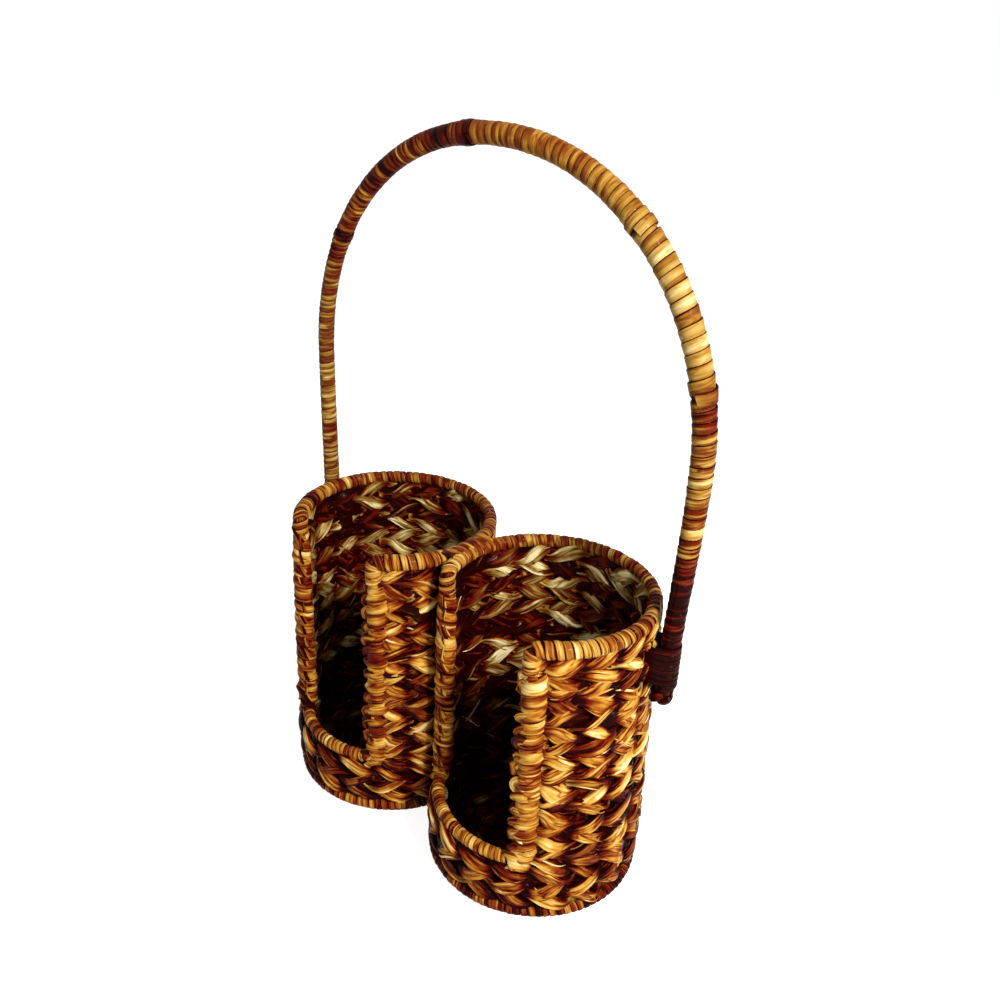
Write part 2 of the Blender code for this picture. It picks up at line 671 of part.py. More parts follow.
def add_floor(side, material, wire_material):
    """A woven disc with a sloping edge, over two crossed wires. The upper one lies in a groove in it."""
    axis = Vector((SIDES[side] * HOLDER_HALF_SPACING, 0.0, 0.0))
    lower = SEAT_GAP + SPOKE_RADIUS
    upper = lower + 2.0 * SPOKE_RADIUS + SEAT_GAP
    reach = BASE_WIRE_CIRCLE - BASE_WIRE_RADIUS - SEAT_GAP
    for name, height in (("lower", lower), ("upper", upper)):
        turn = math.radians(SPOKE_ANGLES[name])
        way = Vector((math.cos(turn), math.sin(turn), 0.0))
        centre = axis + UP * height
        mesh = evaluated_mesh(
            poly_curve(side + "_spoke", [centre - way * reach, centre + way * reach], CUTTERS, SPOKE_RADIUS)
        )
        smooth(mesh)
        add_object(f"{side}_{name}_spoke", mesh, PARTS, wire_material)
    top = FOOT_HEIGHT
    bottom = top - FLOOR_THICKNESS
    edge = FOOT_INNER_RADIUS - FLOOR_EDGE_GAP
    mesh = bpy.data.meshes.new(side + "_floor")
    body = bmesh.new()
    bmesh.ops.create_cone(
        body,
        cap_ends=True,
        segments=RING_STEPS,
        radius1=edge,
        radius2=WALL_INNER_RADIUS - FLOOR_EDGE_GAP,
        depth=FLOOR_THICKNESS,
        matrix=Matrix.Translation(axis + UP * ((top + bottom) / 2.0)),
    )
    body.to_mesh(mesh)
    body.free()
    floor = add_object(side + "_floor", mesh, PARTS, material)
    groove_top = upper + SPOKE_RADIUS + SEAT_GAP
    groove_bottom = bottom - CUT_OVERRUN
    size = (2.0 * edge + CUT_OVERRUN, 2.0 * (SPOKE_RADIUS + SEAT_GAP), groove_top - groove_bottom)
    place = Matrix.Translation(axis + UP * ((groove_top + groove_bottom) / 2.0))
    place = place @ Matrix.Rotation(math.radians(SPOKE_ANGLES["upper"]), 4, "Z")
    cut(floor, add_cutter(side + "_groove", box_mesh("groove", size, place)))


def add_handle(strand_material, wire_material):
    path = handle_path()
    rod = evaluated_mesh(poly_curve("rod", path, CUTTERS, HANDLE_ROD_RADIUS, FACETS))
    smooth(rod)
    add_object("handle_rod", rod, PARTS, wire_material)
    guide = poly_curve("handle_guide", path, CUTTERS)
    guide.hide_render = True
    break_turns = STRAND_END_ANGLE / 360.0
    all_turns = HANDLE_STRANDS * HANDLE_TURNS + (HANDLE_STRANDS - 1) * break_turns
    pitch = (path_length(path) + TURN_GAP) / (all_turns + 1.0)
    for count in range(HANDLE_STRANDS):
        wind(f"handle_wrap_{count + 1}", guide, HANDLE_TURNS, pitch, HANDLE_WRAP_INNER,
             HANDLE_STRAND_THICKNESS, strand_material, lead=count * (HANDLE_TURNS + break_turns))


def add_knot(side, material):
    """The strand's end, bunched under the foot of the rod."""
    foot = handle_foot(side)
    top = -SEAT_GAP
    profile = [(HANDLE_WRAP_INNER, top)]
    profile += [(KNOT_RADIUS * out, top - KNOT_HEIGHT * down) for out, down in KNOT_PROFILE_SHARES]
    mesh = bpy.data.meshes.new(side + "_handle_knot")
    body = bmesh.new()
    rings = []
    for radius, height in profile:
        place = Matrix.Translation(foot + UP * height)
        ring = bmesh.ops.create_circle(body, segments=FACETS, radius=radius, matrix=place)
        rings.append({edge for vertex in ring["verts"] for edge in vertex.link_edges})
    for first, second in zip(rings, rings[1:]):
        bmesh.ops.bridge_loops(body, edges=list(first | second))
    bmesh.ops.holes_fill(body, edges=[edge for edge in body.edges if edge.is_boundary])
    bmesh.ops.recalc_face_normals(body, faces=body.faces)
    body.to_mesh(mesh)
    body.free()
    smooth(mesh)
    add_object(side + "_handle_knot", mesh, PARTS, material)


def add_rim_lashing(material):
    """One strand wound round both rim wires where the holders meet."""
    half_height = FRAME_WIRE_RADIUS + SEAT_GAP + LASHING_STRAND_RADIUS
    points = []
    for count in range(LASHING_TURNS * LASHING_STEPS + 1):
        along = LASHING_HALF_LENGTH * (2.0 * count / (LASHING_TURNS * LASHING_STEPS) - 1.0)
        half_width = HOLDER_HALF_SPACING - math.sqrt(HOLDER_RADIUS ** 2 - along ** 2)
        turn = 2.0 * math.pi * count / LASHING_STEPS
        out, up = math.cos(turn), math.sin(turn)
        shift = half_width if out > WELD else -half_width if out < -WELD else 0.0
        points.append(Vector((shift + half_height * out, along, RIM_HEIGHT + half_height * up)))
    mesh = evaluated_mesh(poly_curve("lashing", points, CUTTERS, LASHING_STRAND_RADIUS))
    smooth(mesh)
    add_object("rim_lashing", mesh, PARTS, material)
    print_gap("rim_lashing", strand_gaps(points, LASHING_STEPS, LASHING_STRAND_RADIUS))


def build():
    straw = new_material("woven_strand", STRAW, 0.45, 0.0)
    bark = new_material("wrapping_strand", BARK, 0.40, 0.0)
    dark = new_material("foot_binding", DARK_BARK, 0.50, 0.0)
    wire = new_material("frame_wire", RUSTED_WIRE, 0.55, 0.9)
    for side in SIDES:
        add_frame(side, wire)
        add_rim_wraps(side, bark)
        add_sill_wrap(side, bark)
        add_window_edges(side, straw)
        contact = contact_cutter(side)
        cutters = [window_cutter(side), add_stakes(side, wire), contact, add_tie(side, bark)]
        add_wall(side, cutters, straw)
        add_foot(side, contact, dark, wire)
        add_floor(side, straw, wire)
        add_knot(side, dark)
    add_rim_lashing(bark)
    add_handle(bark, wire)


start_empty()
PARTS = new_collection("bottle_carrier")
CUTTERS = new_collection("cutters", hidden=True)
build()
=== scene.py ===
"""The looks of an open-fronted woven carrier for two bottles, laid over its CAD frame.

The file is laid out as a Blender add-on and is run as a script. All sizes are in metres and all angles in
degrees, with +Z up and the windows facing -Y. An angle round a holder is measured from the front, and grows
towards +X. A look is a strand's tone (0 dark red-brown, 1 golden), its olive share and its shade, which is
painted shade that darkens the tone.
"""

import collections
import math

import bmesh
import bpy
import numpy as np
from mathutils import Matrix, Vector


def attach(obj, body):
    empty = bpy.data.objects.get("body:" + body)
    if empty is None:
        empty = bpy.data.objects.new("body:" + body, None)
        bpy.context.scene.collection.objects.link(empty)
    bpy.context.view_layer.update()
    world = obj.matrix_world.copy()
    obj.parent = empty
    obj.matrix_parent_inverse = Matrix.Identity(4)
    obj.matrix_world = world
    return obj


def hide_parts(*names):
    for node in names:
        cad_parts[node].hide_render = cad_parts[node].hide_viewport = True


bl_info = {
    "name": "Woven Bottle Carrier",
    "version": (1, 0, 0),
    "blender": (4, 5, 0),
    "location": "3D View > Sidebar > Carrier",
    "description": "Weaves, binds and lights an open-fronted carrier for two bottles over its CAD frame",
    "category": "Object",
}

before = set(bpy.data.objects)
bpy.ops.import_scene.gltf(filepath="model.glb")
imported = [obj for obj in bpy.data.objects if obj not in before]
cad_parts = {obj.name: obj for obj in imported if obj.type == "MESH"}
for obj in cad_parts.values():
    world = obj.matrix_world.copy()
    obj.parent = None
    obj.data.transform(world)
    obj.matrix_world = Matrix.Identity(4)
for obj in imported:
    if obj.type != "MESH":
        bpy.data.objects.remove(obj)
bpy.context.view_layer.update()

# The CAD frame's lines, as the part's source has them
SIDES = {"left": -1.0, "right": 1.0}
HOLDER_RADIUS = 0.052            # circle that the frame wire and the stakes stand on
HOLDER_HALF_SPACING = 0.0547
RIM_HEIGHT = 0.160
RIM_CORNER_RADIUS = 0.004
SILL_HEIGHT = 0.035
SILL_CORNER_RADIUS = 0.008
WINDOW_ANGLES = {"left": (-43.0, 34.7), "right": (-63.7, 32.2)}
STAKE_PITCH = 20.0
LEG_ANGLES = {"left": 263.8, "right": 107.75}
PAINTED_SHADE_ANGLES = {"left": 84.0, "right": -84.0}    # where painted shade darkens both holders, near where they meet
LEG_REACH = {"low": 0.0624, "wall_inside": 0.0475}
HANDLE_FOOT_HEIGHT = 0.121
HANDLE_SPRING_HEIGHT = 0.238
HANDLE_HEIGHT = 0.3652
HANDLE_HALF_SPAN = 0.1183
ARCH_POWER = 2.08

# Fineness and room
WALL_STEPS = 9                   # along a strand, from one stake to the next
WALL_SIDES = 14
STRIP_STEPS = 14                 # in one turn of a binding
STRIP_SIDES = 8
WELD = 0.000001
HIGHEST_TONE = 1.15              # at which leaf is as pale as straw
CRISP_FOLD = 26.0                # of a woven strand: where it turns by more than this it has an edge
CRISP_EDGE = 40.0                # of a wound strip
JOINT_LAP = 0.003                # share of the handle's length by which a strip passes under the next
LONGEST_OFFSET = 3.0             # of a strand's pattern along its length, so that no two look alike

Strand = collections.namedtuple("Strand", "centres outwards widths depths looks closed")


def linear(colour):
    """The linear values of an sRGB hex colour."""
    shares = [int(colour[place:place + 2], 16) / 255.0 for place in (1, 3, 5)]
    return tuple(c / 12.92 if c <= 0.04045 else ((c + 0.055) / 1.055) ** 2.4 for c in shares)


def size_property(name, description, default, **limits):
    return bpy.props.FloatProperty(name=name, description=description, default=default, unit="LENGTH",
                                   precision=5, min=0.0, **limits)


def colour_property(name, description, default):
    return bpy.props.FloatVectorProperty(name=name, description=description, default=linear(default),
                                         subtype="COLOR", size=3, min=0.0, max=1.0)


class CarrierWeave(bpy.types.PropertyGroup):
    """Sizes of the woven walls and floors."""
    rows: bpy.props.IntProperty(
        name="Rows", description="Rows of the weave beside a window", default=16, min=4, max=24)
    strand_width: size_property("Strand width", "Widest part of a strand, where it lies on a stake", 0.0084)
    waist_width: size_property("Waist width", "Width of a strand where two of them cross", 0.0058)
    top_depth: size_property("Depth at the rim", "How far a strand swings out and in at the rim", 0.0023)
    foot_depth: size_property("Depth at the foot", "How far a strand swings out and in at the foot", 0.0034)
    slant: size_property("Slant", "How far a strand rises or falls from one stake to the next, halved", 0.0037)
    unevenness: bpy.props.FloatProperty(
        name="Unevenness", description="How much one strand differs from the next", default=1.0,
        min=0.0, max=2.0, subtype="FACTOR")
    floor_pitch: size_property("Floor pitch", "Distance between the rings of a floor", 0.0065)


class CarrierBinding(bpy.types.PropertyGroup):
    """Sizes of the strips that are wound round the wires and the handle."""
    rim_pitch: size_property("Rim pitch", "Distance between turns on a rim", 0.0040)
    rim_back_radius: size_property("Rim radius behind", "Outer radius of a rim's binding at the back", 0.0034)
    rim_front_radius: size_property("Rim radius in front", "Outer radius of a rim's binding beside the window", 0.0047)
    sill_pitch: size_property("Sill pitch", "Distance between turns on a sill", 0.0029)
    sill_radius: size_property("Sill radius", "Outer radius of a sill's binding", 0.0034)
    foot_pitch: size_property("Foot pitch", "Distance between turns on a foot ring", 0.0036)
    foot_radius: size_property("Foot radius", "Outer radius of a foot ring's binding", 0.0033)
    handle_pitch: size_property("Handle pitch", "Distance between turns on the handle", 0.0044)


class CarrierFinish(bpy.types.PropertyGroup):
    """Colours of the dried leaf and the wires."""
    straw: colour_property("Straw", "Palest leaf", "#F9DF9C")
    pale_golden: colour_property("Pale golden", "Leaf with little stain", "#DEB05A")
    golden: colour_property("Golden", "Golden leaf", "#C1892D")
    amber: colour_property("Amber", "Leaf with some stain", "#A05C1B")
    brown: colour_property("Brown", "Stained leaf", "#79320C")
    red_brown: colour_property("Red-brown", "Leaf with much stain", "#600C04")
    # The crevice colour is the darkest: deep stain, and also the painted shade at strands' edges and crossings.
    crevice: colour_property("Crevice", "Stain that has run between strands", "#200302")
    olive_straw: colour_property("Olive straw", "Palest leaf inside the holders", "#DDCE9A")
    olive_pale: colour_property("Pale olive", "Leaf with little stain inside the holders", "#AC9056")
    olive: colour_property("Olive", "Leaf inside the holders", "#84642A")
    olive_brown: colour_property("Olive brown", "Stained leaf inside the holders", "#542C10")
    wire: colour_property("Wire", "Steel wire with a brown film", "#2B211A")
    rust: colour_property("Rust", "Rust on the wire", "#5A2A12")


class CarrierStage(bpy.types.PropertyGroup):
    """Floor, backdrop and lights."""
    floor_colour: colour_property("Floor", "Floor and backdrop", "#E4E4E2")
    key_power: bpy.props.FloatProperty(
        name="Key light", description="Power of the light in front, at the right", default=16.0, min=0.0, unit="POWER")
    fill_power: bpy.props.FloatProperty(
        name="Fill light", description="Power of the light at the other side", default=0.8, min=0.0, unit="POWER")
    room_light: bpy.props.FloatProperty(
        name="Room light", description="Strength of the light from all round", default=0.2, min=0.0)


def smoothstep(share):
    share = np.clip(share, 0.0, 1.0)
    return share * share * (3.0 - 2.0 * share)


def unit(vectors):
    return vectors / np.linalg.norm(vectors, axis=-1, keepdims=True)


def arc_angle(length):
    """The angle that this length along the frame wire's circle takes up."""
    return math.degrees(length / HOLDER_RADIUS)


def round_holder(side, angles, heights, radii=HOLDER_RADIUS):
    """The points at these angles and heights round a holder, one to a row."""
    turn = np.radians(angles)
    middle = SIDES[side] * HOLDER_HALF_SPACING
    return np.stack(np.broadcast_arrays(middle + radii * np.sin(turn), -radii * np.cos(turn), heights), axis=-1)


def holder_outwards(angles):
    turn = np.radians(angles)
    return np.stack(np.broadcast_arrays(np.sin(turn), -np.cos(turn), 0.0), axis=-1)


def lengths_along(points):
    return np.concatenate([[0.0], np.cumsum(np.linalg.norm(np.diff(points, axis=0), axis=1))])


def spread_evenly(points, count):
    """This many points at even distances along a line."""
    along = lengths_along(points)
    places = np.linspace(0.0, along[-1], count)
    return np.stack([np.interp(places, along, points[:, axis]) for axis in range(3)], axis=-1)


def drift(rng, count, period, spread, closed=False):
    """A smooth random value for each of these steps, which changes about once in each period."""
    knots = max(3, round(count / period))
    values = rng.normal(0.0, spread, knots)
    if closed:
        values[-1] = values[0]
    places = np.linspace(0.0, knots - 1.0, count)
    low = np.minimum(places.astype(int), knots - 2)
    blend = smoothstep(places - low)
    return values[low] * (1.0 - blend) + values[low + 1] * blend


def section_points(sides, squareness):
    """A rounded flat section of unit half sizes, whose seam is at its lower edge."""
    turn = 2.0 * np.pi * np.arange(sides + 1) / sides - np.pi
    wide, deep = np.cos(turn), np.sin(turn)
    return (np.sign(wide) * np.abs(wide) ** squareness, np.sign(deep) * np.abs(deep) ** squareness)


def lay_strand(body, strand, sides, rng, folds=0.0, squareness=0.85, edge_shade=0.45, fold_steps=12.0, seam=0):
    """A grid bent round the strand's centre line into a tube, with folds along it.

    A closed strand's seam is moved along it by this many steps, to where it is hidden.
    """
    uvs, marks = body.loops.layers.uv["UVMap"], body.verts.layers.float_vector["look"]
    if strand.closed:
        strand = Strand(*(np.concatenate([part[seam:], part[:seam + 1]]) for part in strand[:5]), True)
    steps = len(strand.centres)
    if strand.closed:
        ahead = np.roll(strand.centres[:-1], -1, axis=0) - np.roll(strand.centres[:-1], 1, axis=0)
        ahead = np.concatenate([ahead, ahead[:1]])
    else:
        ahead = np.gradient(strand.centres, axis=0)
    across = unit(np.cross(ahead, strand.outwards))
    out = unit(np.cross(across, ahead))
    wide, deep = section_points(sides, squareness)
    fold = np.stack([drift(rng, steps, fold_steps, folds, strand.closed) for _ in range(sides)], axis=1)
    fold = 1.0 + np.clip(np.concatenate([fold, fold[:, :1]], axis=1), -0.5, 0.6)
    places = (strand.centres[:, None, :]
              + across[:, None, :] * (strand.widths[:, None] * wide * (1.0 + 0.3 * (fold - 1.0)))[:, :, None]
              + out[:, None, :] * (strand.depths[:, None] * deep * fold)[:, :, None])
    places[:, :, 2] = np.maximum(places[:, :, 2], 0.0)
    looks = np.repeat(strand.looks[:, None, :], sides + 1, axis=1)
    # Painted light and shade: a fold that stands out is paler and less shaded, a crease is darker, and the strand's
    # edges are shaded by edge_shade.
    looks[:, :, 0] += 0.15 * (fold - 1.0)
    looks[:, :, 2] += edge_shade * np.abs(wide) ** 10 - 0.4 * (fold - 1.0)
    girth = 2.3 * (strand.widths.mean() + strand.depths.mean())
    map_u = rng.uniform(0.0, 1.0) + girth * np.arange(sides + 1) / sides
    map_v = rng.uniform(0.0, LONGEST_OFFSET) + lengths_along(strand.centres)
    grid = bmesh.ops.create_grid(body, x_segments=sides, y_segments=steps - 1, size=1.0)["verts"]
    where = [(u, v) for v in map_v.tolist() for u in map_u.tolist()]
    for vertex, place, look, mapped in zip(grid, places.reshape(-1, 3).tolist(), looks.reshape(-1, 3).tolist(), where):
        vertex.co = place
        vertex[marks] = look
        for loop in vertex.link_loops:
            loop[uvs].uv = mapped


def new_body():
    """An empty bmesh with the layers that the leaf materials read."""
    body = bmesh.new()
    body.loops.layers.uv.new("UVMap")
    body.verts.layers.float_vector.new("look")
    return body


def finish_piece(name, body, material, slot, *nodes, crisp=CRISP_EDGE):
    """Closes the seams and ends of a piece, and puts it in the scene in place of these CAD nodes."""
    bmesh.ops.remove_doubles(body, verts=body.verts, dist=WELD)
    bmesh.ops.holes_fill(body, edges=[edge for edge in body.edges if edge.is_boundary], sides=0)
    bmesh.ops.recalc_face_normals(body, faces=body.faces)
    mesh = bpy.data.meshes.new(name)
    body.to_mesh(mesh)
    body.free()
    mesh.shade_smooth()
    mesh.set_sharp_from_angle(angle=math.radians(crisp))
    mesh.materials.append(material)
    piece = bpy.data.objects.new(name, mesh)
    bpy.context.scene.collection.objects.link(piece)
    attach(piece, "root")
    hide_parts(*nodes)
    return piece


def add_node(tree, kind, inputs=(), stops=(), **settings):
    """Adds a node. An input is a value or another node's output, and stops are a ramp's places and colours in order."""
    node = tree.nodes.new(kind)
    for name, value in settings.items():
        setattr(node, name, value)
    for socket, value in dict(inputs).items():
        if isinstance(value, bpy.types.NodeSocket):
            tree.links.new(value, node.inputs[socket])
        else:
            node.inputs[socket].default_value = value
    for index, (place, colour) in enumerate(stops):
        stop = node.color_ramp.elements[index] if index < 2 else node.color_ramp.elements.new(place)
        stop.position, stop.color = place, (*colour, 1.0)
    return node


def start_material(name):
    """A new material of this name with no nodes, to which the caller adds its shader and output."""
    made = bpy.data.materials.new(name)
    made.use_nodes = True
    made.node_tree.nodes.clear()
    return made, made.node_tree


def leaf_material(name, finish, fibre_width, fold_width, roughness, coat, relief, contrast):
    """Dried leaf, stained and lacquered.

    The leaf is split into strips, dried, stained brown while it is flat, woven or wound, and sprayed with a
    thin lacquer. Fibres run along it as fine streaks that took the stain unevenly, folds show as long pale
    lines and creases as dark ones, which is painted light and shade, and the lacquer gives narrow highlights.
    The look's shade, painted shade at edges, crossings and folds, darkens the tone.
    """
    made, tree = start_material(name)
    place = add_node(tree, "ShaderNodeUVMap", uv_map="UVMap").outputs["UV"]
    look = add_node(tree, "ShaderNodeAttribute", attribute_name="look").outputs["Vector"]
    look = add_node(tree, "ShaderNodeSeparateXYZ", {0: look}).outputs
    # A fibre is 0.2 mm wide and about 20 mm long. It is drawn as coarse as fibre_width so that it shows.
    streaks = add_node(tree, "ShaderNodeMapping", {"Vector": place, "Scale": (1.0 / fibre_width, 1.0 / 0.016, 1.0)})
    fibres = add_node(tree, "ShaderNodeTexNoise", {"Vector": streaks.outputs[0], "Scale": 1.0, "Detail": 2.0,
                                                   "Roughness": 0.6}, noise_dimensions="2D").outputs[0]
    # The folds of a dried leaf are 1 to 2 mm apart and run 20 to 40 mm.
    folds = add_node(tree, "ShaderNodeMapping", {"Vector": place, "Scale": (1.0 / fold_width, 1.0 / 0.028, 1.0)})
    creases = add_node(tree, "ShaderNodeTexNoise", {"Vector": folds.outputs[0], "Scale": 1.0, "Detail": 1.0},
                       noise_dimensions="2D").outputs[0]
    # Stain dries in patches of about 7 mm.
    patches = add_node(tree, "ShaderNodeMapping", {"Vector": place, "Scale": (1.0 / 0.007, 1.0 / 0.011, 1.0)})
    stain = add_node(tree, "ShaderNodeTexNoise", {"Vector": patches.outputs[0], "Scale": 1.0, "Detail": 3.0},
                     noise_dimensions="2D").outputs[0]
    # Painted shade: a dark line runs where the crease noise is near its middle, like a crease in shade.
    apart = add_node(tree, "ShaderNodeMath", {0: creases, 1: 0.5}, operation="SUBTRACT")
    apart = add_node(tree, "ShaderNodeMath", {0: apart.outputs[0]}, operation="ABSOLUTE")
    line = add_node(tree, "ShaderNodeMapRange", {"Value": apart.outputs[0], "From Max": 0.04, "To Min": -0.32 * contrast,
                                                 "To Max": 0.0})
    tone = add_node(tree, "ShaderNodeMath", {0: look["X"], 1: line.outputs[0]}, operation="ADD").outputs[0]
    for source, strength in ((fibres, 1.3), (creases, 1.0), (stain, 0.7)):
        strength *= contrast
        shift = add_node(tree, "ShaderNodeMath", {0: source, 1: strength, 2: -0.5 * strength}, operation="MULTIPLY_ADD")
        tone = add_node(tree, "ShaderNodeMath", {0: tone, 1: shift.outputs[0]}, operation="ADD").outputs[0]
    # The look's shade, which is painted shade, darkens the tone.
    tone = add_node(tree, "ShaderNodeMath", {0: look["Z"], 1: -0.6, 2: tone}, operation="MULTIPLY_ADD").outputs[0]
    tone = add_node(tree, "ShaderNodeMath", {0: tone, 1: 1.0 / HIGHEST_TONE}, operation="MULTIPLY").outputs[0]
    outside = add_node(tree, "ShaderNodeValToRGB", {0: tone}, stops=(
        (0.0, finish.crevice), (0.17, finish.red_brown), (0.33, finish.brown), (0.47, finish.amber),
        (0.61, finish.golden), (0.8, finish.pale_golden), (1.0, finish.straw)))
    inside = add_node(tree, "ShaderNodeValToRGB", {0: tone}, stops=(
        (0.0, finish.crevice), (0.2, finish.red_brown), (0.42, finish.olive_brown), (0.62, finish.olive),
        (0.82, finish.olive_pale), (1.0, finish.olive_straw)))
    colour = add_node(tree, "ShaderNodeMix", {"Factor": look["Y"], "A": outside.outputs[0], "B": inside.outputs[0]},
                      data_type="RGBA")
    height = add_node(tree, "ShaderNodeMath", {0: creases, 1: 2.0, 2: fibres}, operation="MULTIPLY_ADD").outputs[0]
    bump = add_node(tree, "ShaderNodeBump", {"Height": height, "Strength": 1.0, "Distance": relief})
    gloss = add_node(tree, "ShaderNodeMapRange", {"Value": stain, "To Min": roughness + 0.12, "To Max": roughness - 0.08})
    shader = add_node(tree, "ShaderNodeBsdfPrincipled", {
        "Base Color": colour.outputs["Result"], "Roughness": gloss.outputs[0], "Normal": bump.outputs[0],
        "Specular IOR Level": 0.02, "Specular Tint": (*finish.golden, 1.0), "Coat Weight": coat,
        "Coat Roughness": 0.12, "Coat IOR": 1.5, "Coat Normal": bump.outputs[0]})
    add_node(tree, "ShaderNodeOutputMaterial", {"Surface": shader.outputs[0]})
    return made


def wire_material(name, finish, roughness):
    """Drawn steel wire with a brown film and specks of rust.

    The bright wire is dull and dark where stain and lacquer have run on it, and rust shows as brown patches
    of a millimetre or two, rougher than the wire.
    """
    made, tree = start_material(name)
    place = add_node(tree, "ShaderNodeTexCoord").outputs["Object"]
    # Rust patches are 1 to 2 mm, the drawing lines and pits a tenth of that.
    rust = add_node(tree, "ShaderNodeTexNoise", {"Vector": place, "Scale": 1.0 / 0.0016, "Detail": 3.0}).outputs[0]
    pits = add_node(tree, "ShaderNodeTexNoise", {"Vector": place, "Scale": 1.0 / 0.0003, "Detail": 1.0}).outputs[0]
    share = add_node(tree, "ShaderNodeMapRange", {"Value": rust, "From Min": 0.5, "From Max": 0.65})
    colour = add_node(tree, "ShaderNodeMix", {"Factor": share.outputs[0], "A": (*finish.wire, 1.0), "B": (*finish.rust, 1.0)},
                      data_type="RGBA")
    dull = add_node(tree, "ShaderNodeMapRange", {"Value": share.outputs[0], "To Min": roughness, "To Max": 0.85})
    steel = add_node(tree, "ShaderNodeMapRange", {"Value": share.outputs[0], "To Min": 0.8, "To Max": 0.0})
    bump = add_node(tree, "ShaderNodeBump", {"Height": pits, "Strength": 0.5, "Distance": 0.0001})
    shader = add_node(tree, "ShaderNodeBsdfPrincipled", {
        "Base Color": colour.outputs["Result"], "Roughness": dull.outputs[0], "Metallic": steel.outputs[0],
        "Normal": bump.outputs[0]})
    add_node(tree, "ShaderNodeOutputMaterial", {"Surface": shader.outputs[0]})
    return made


def shared_material(name, make, *details):
    """The material of this name, which the first piece that needs it makes."""
    return bpy.data.materials.get(name) or make(name, bpy.context.scene.carrier_finish, *details)


def woven_leaf():
    return shared_material("lacquered_leaf_strand", leaf_material, 0.0009, 0.0024, 0.45, 0.03, 0.0004, 1.0)


def wound_leaf():
    return shared_material("lacquered_leaf_strip", leaf_material, 0.0007, 0.0017, 0.4, 0.05, 0.00025, 0.8)


def smooth_leaf():
    return shared_material("pale_leaf_strip", leaf_material, 0.0008, 0.0022, 0.4, 0.05, 0.0002, 0.45)


def foot_leaf():
    return shared_material("stained_leaf_binding", leaf_material, 0.0007, 0.0017, 0.45, 0.04, 0.00025, 0.7)


def edge_angle(side, height, which):
    """The angle of the frame wire at this height on the window's left (0) or right (1) edge."""
    first, last = WINDOW_ANGLES[side]
    below = min(max(SILL_HEIGHT + SILL_CORNER_RADIUS - height, 0.0), SILL_CORNER_RADIUS)
    bend = arc_angle(SILL_CORNER_RADIUS - math.sqrt(SILL_CORNER_RADIUS ** 2 - below ** 2)) * 0.4
    return first + bend if which == 0 else last - bend


def row_stops(side, height):
    """Angles of the wires that a row passes, from the window's right edge round to its left edge."""
    start, end = edge_angle(side, height, 1), edge_angle(side, height, 0) + 360.0
    stakes = sorted((LEG_ANGLES[side] + STAKE_PITCH * count - start) % 360.0 + start for count in range(18))
    return np.array([start] + [angle for angle in stakes if start + 5.0 < angle < end - 5.0] + [end])


def pick_tones(rng, count, height, inside):
    """A tone for each stretch of a strand: mostly golden outside, darker at the foot and inside.
    Inside, the darkness is partly painted shade, which deepens further down.
    """
    foot = 1.0 - smoothstep((height - 0.020) / 0.025)
    kinds = rng.choice(3, count, p=(0.5, 0.41, 0.09))
    tones = np.choose(kinds, (rng.normal(0.76, 0.08, count), rng.normal(0.6, 0.08, count), rng.normal(0.34, 0.1, count)))
    tones = np.minimum(tones, 0.9) - foot * rng.uniform(-0.1, 0.3, count)
    # Painted shade: inside, the stretches get darker further down.
    depth = 1.0 - smoothstep(height / 0.15)
    kinds = rng.choice(3, count, p=(0.36 - 0.12 * depth, 0.24 - 0.08 * depth, 0.4 + 0.2 * depth))
    hidden = np.choose(kinds, (rng.normal(0.88, 0.1, count), rng.normal(0.5, 0.1, count), rng.normal(0.13, 0.1, count)))
    return np.where(inside, hidden - 0.04 * depth, tones)


def weave_line(rng, weave, side, height, swing, count, closed_ring, lean):
    """What all the strands of a wall share: how far each stretch swings, its width, slant and tone."""
    inside = (np.arange(count) + (0 if swing > 0 else 1)) % 2 == 1
    uneven = weave.unevenness
    return {
        "reach": 1.0 + uneven * rng.normal(0.0, 0.13, count).clip(-0.3, 0.3),
        "width": 1.0 + uneven * rng.normal(0.0, 0.17, count).clip(-0.35, 0.3),
        "slant": 1.0 + uneven * rng.normal(0.0, 0.25, count).clip(-0.5, 0.5),
        "lift": uneven * rng.normal(0.0, 0.0008, count),
        "roll": uneven * rng.normal(0.0, 0.24, count),
        "tone": pick_tones(rng, count, height, inside),
        "inside": inside.astype(float),
    }


def at_places(table, places, crispness=1.0):
    """Values between the stretches of a closed strand, which lie at whole numbers."""
    low = np.floor(places).astype(int)
    blend = np.clip((places - low - 0.5) * crispness + 0.5, 0.0, 1.0)
    return table[low % len(table)] * (1.0 - blend) + table[(low + 1) % len(table)] * blend


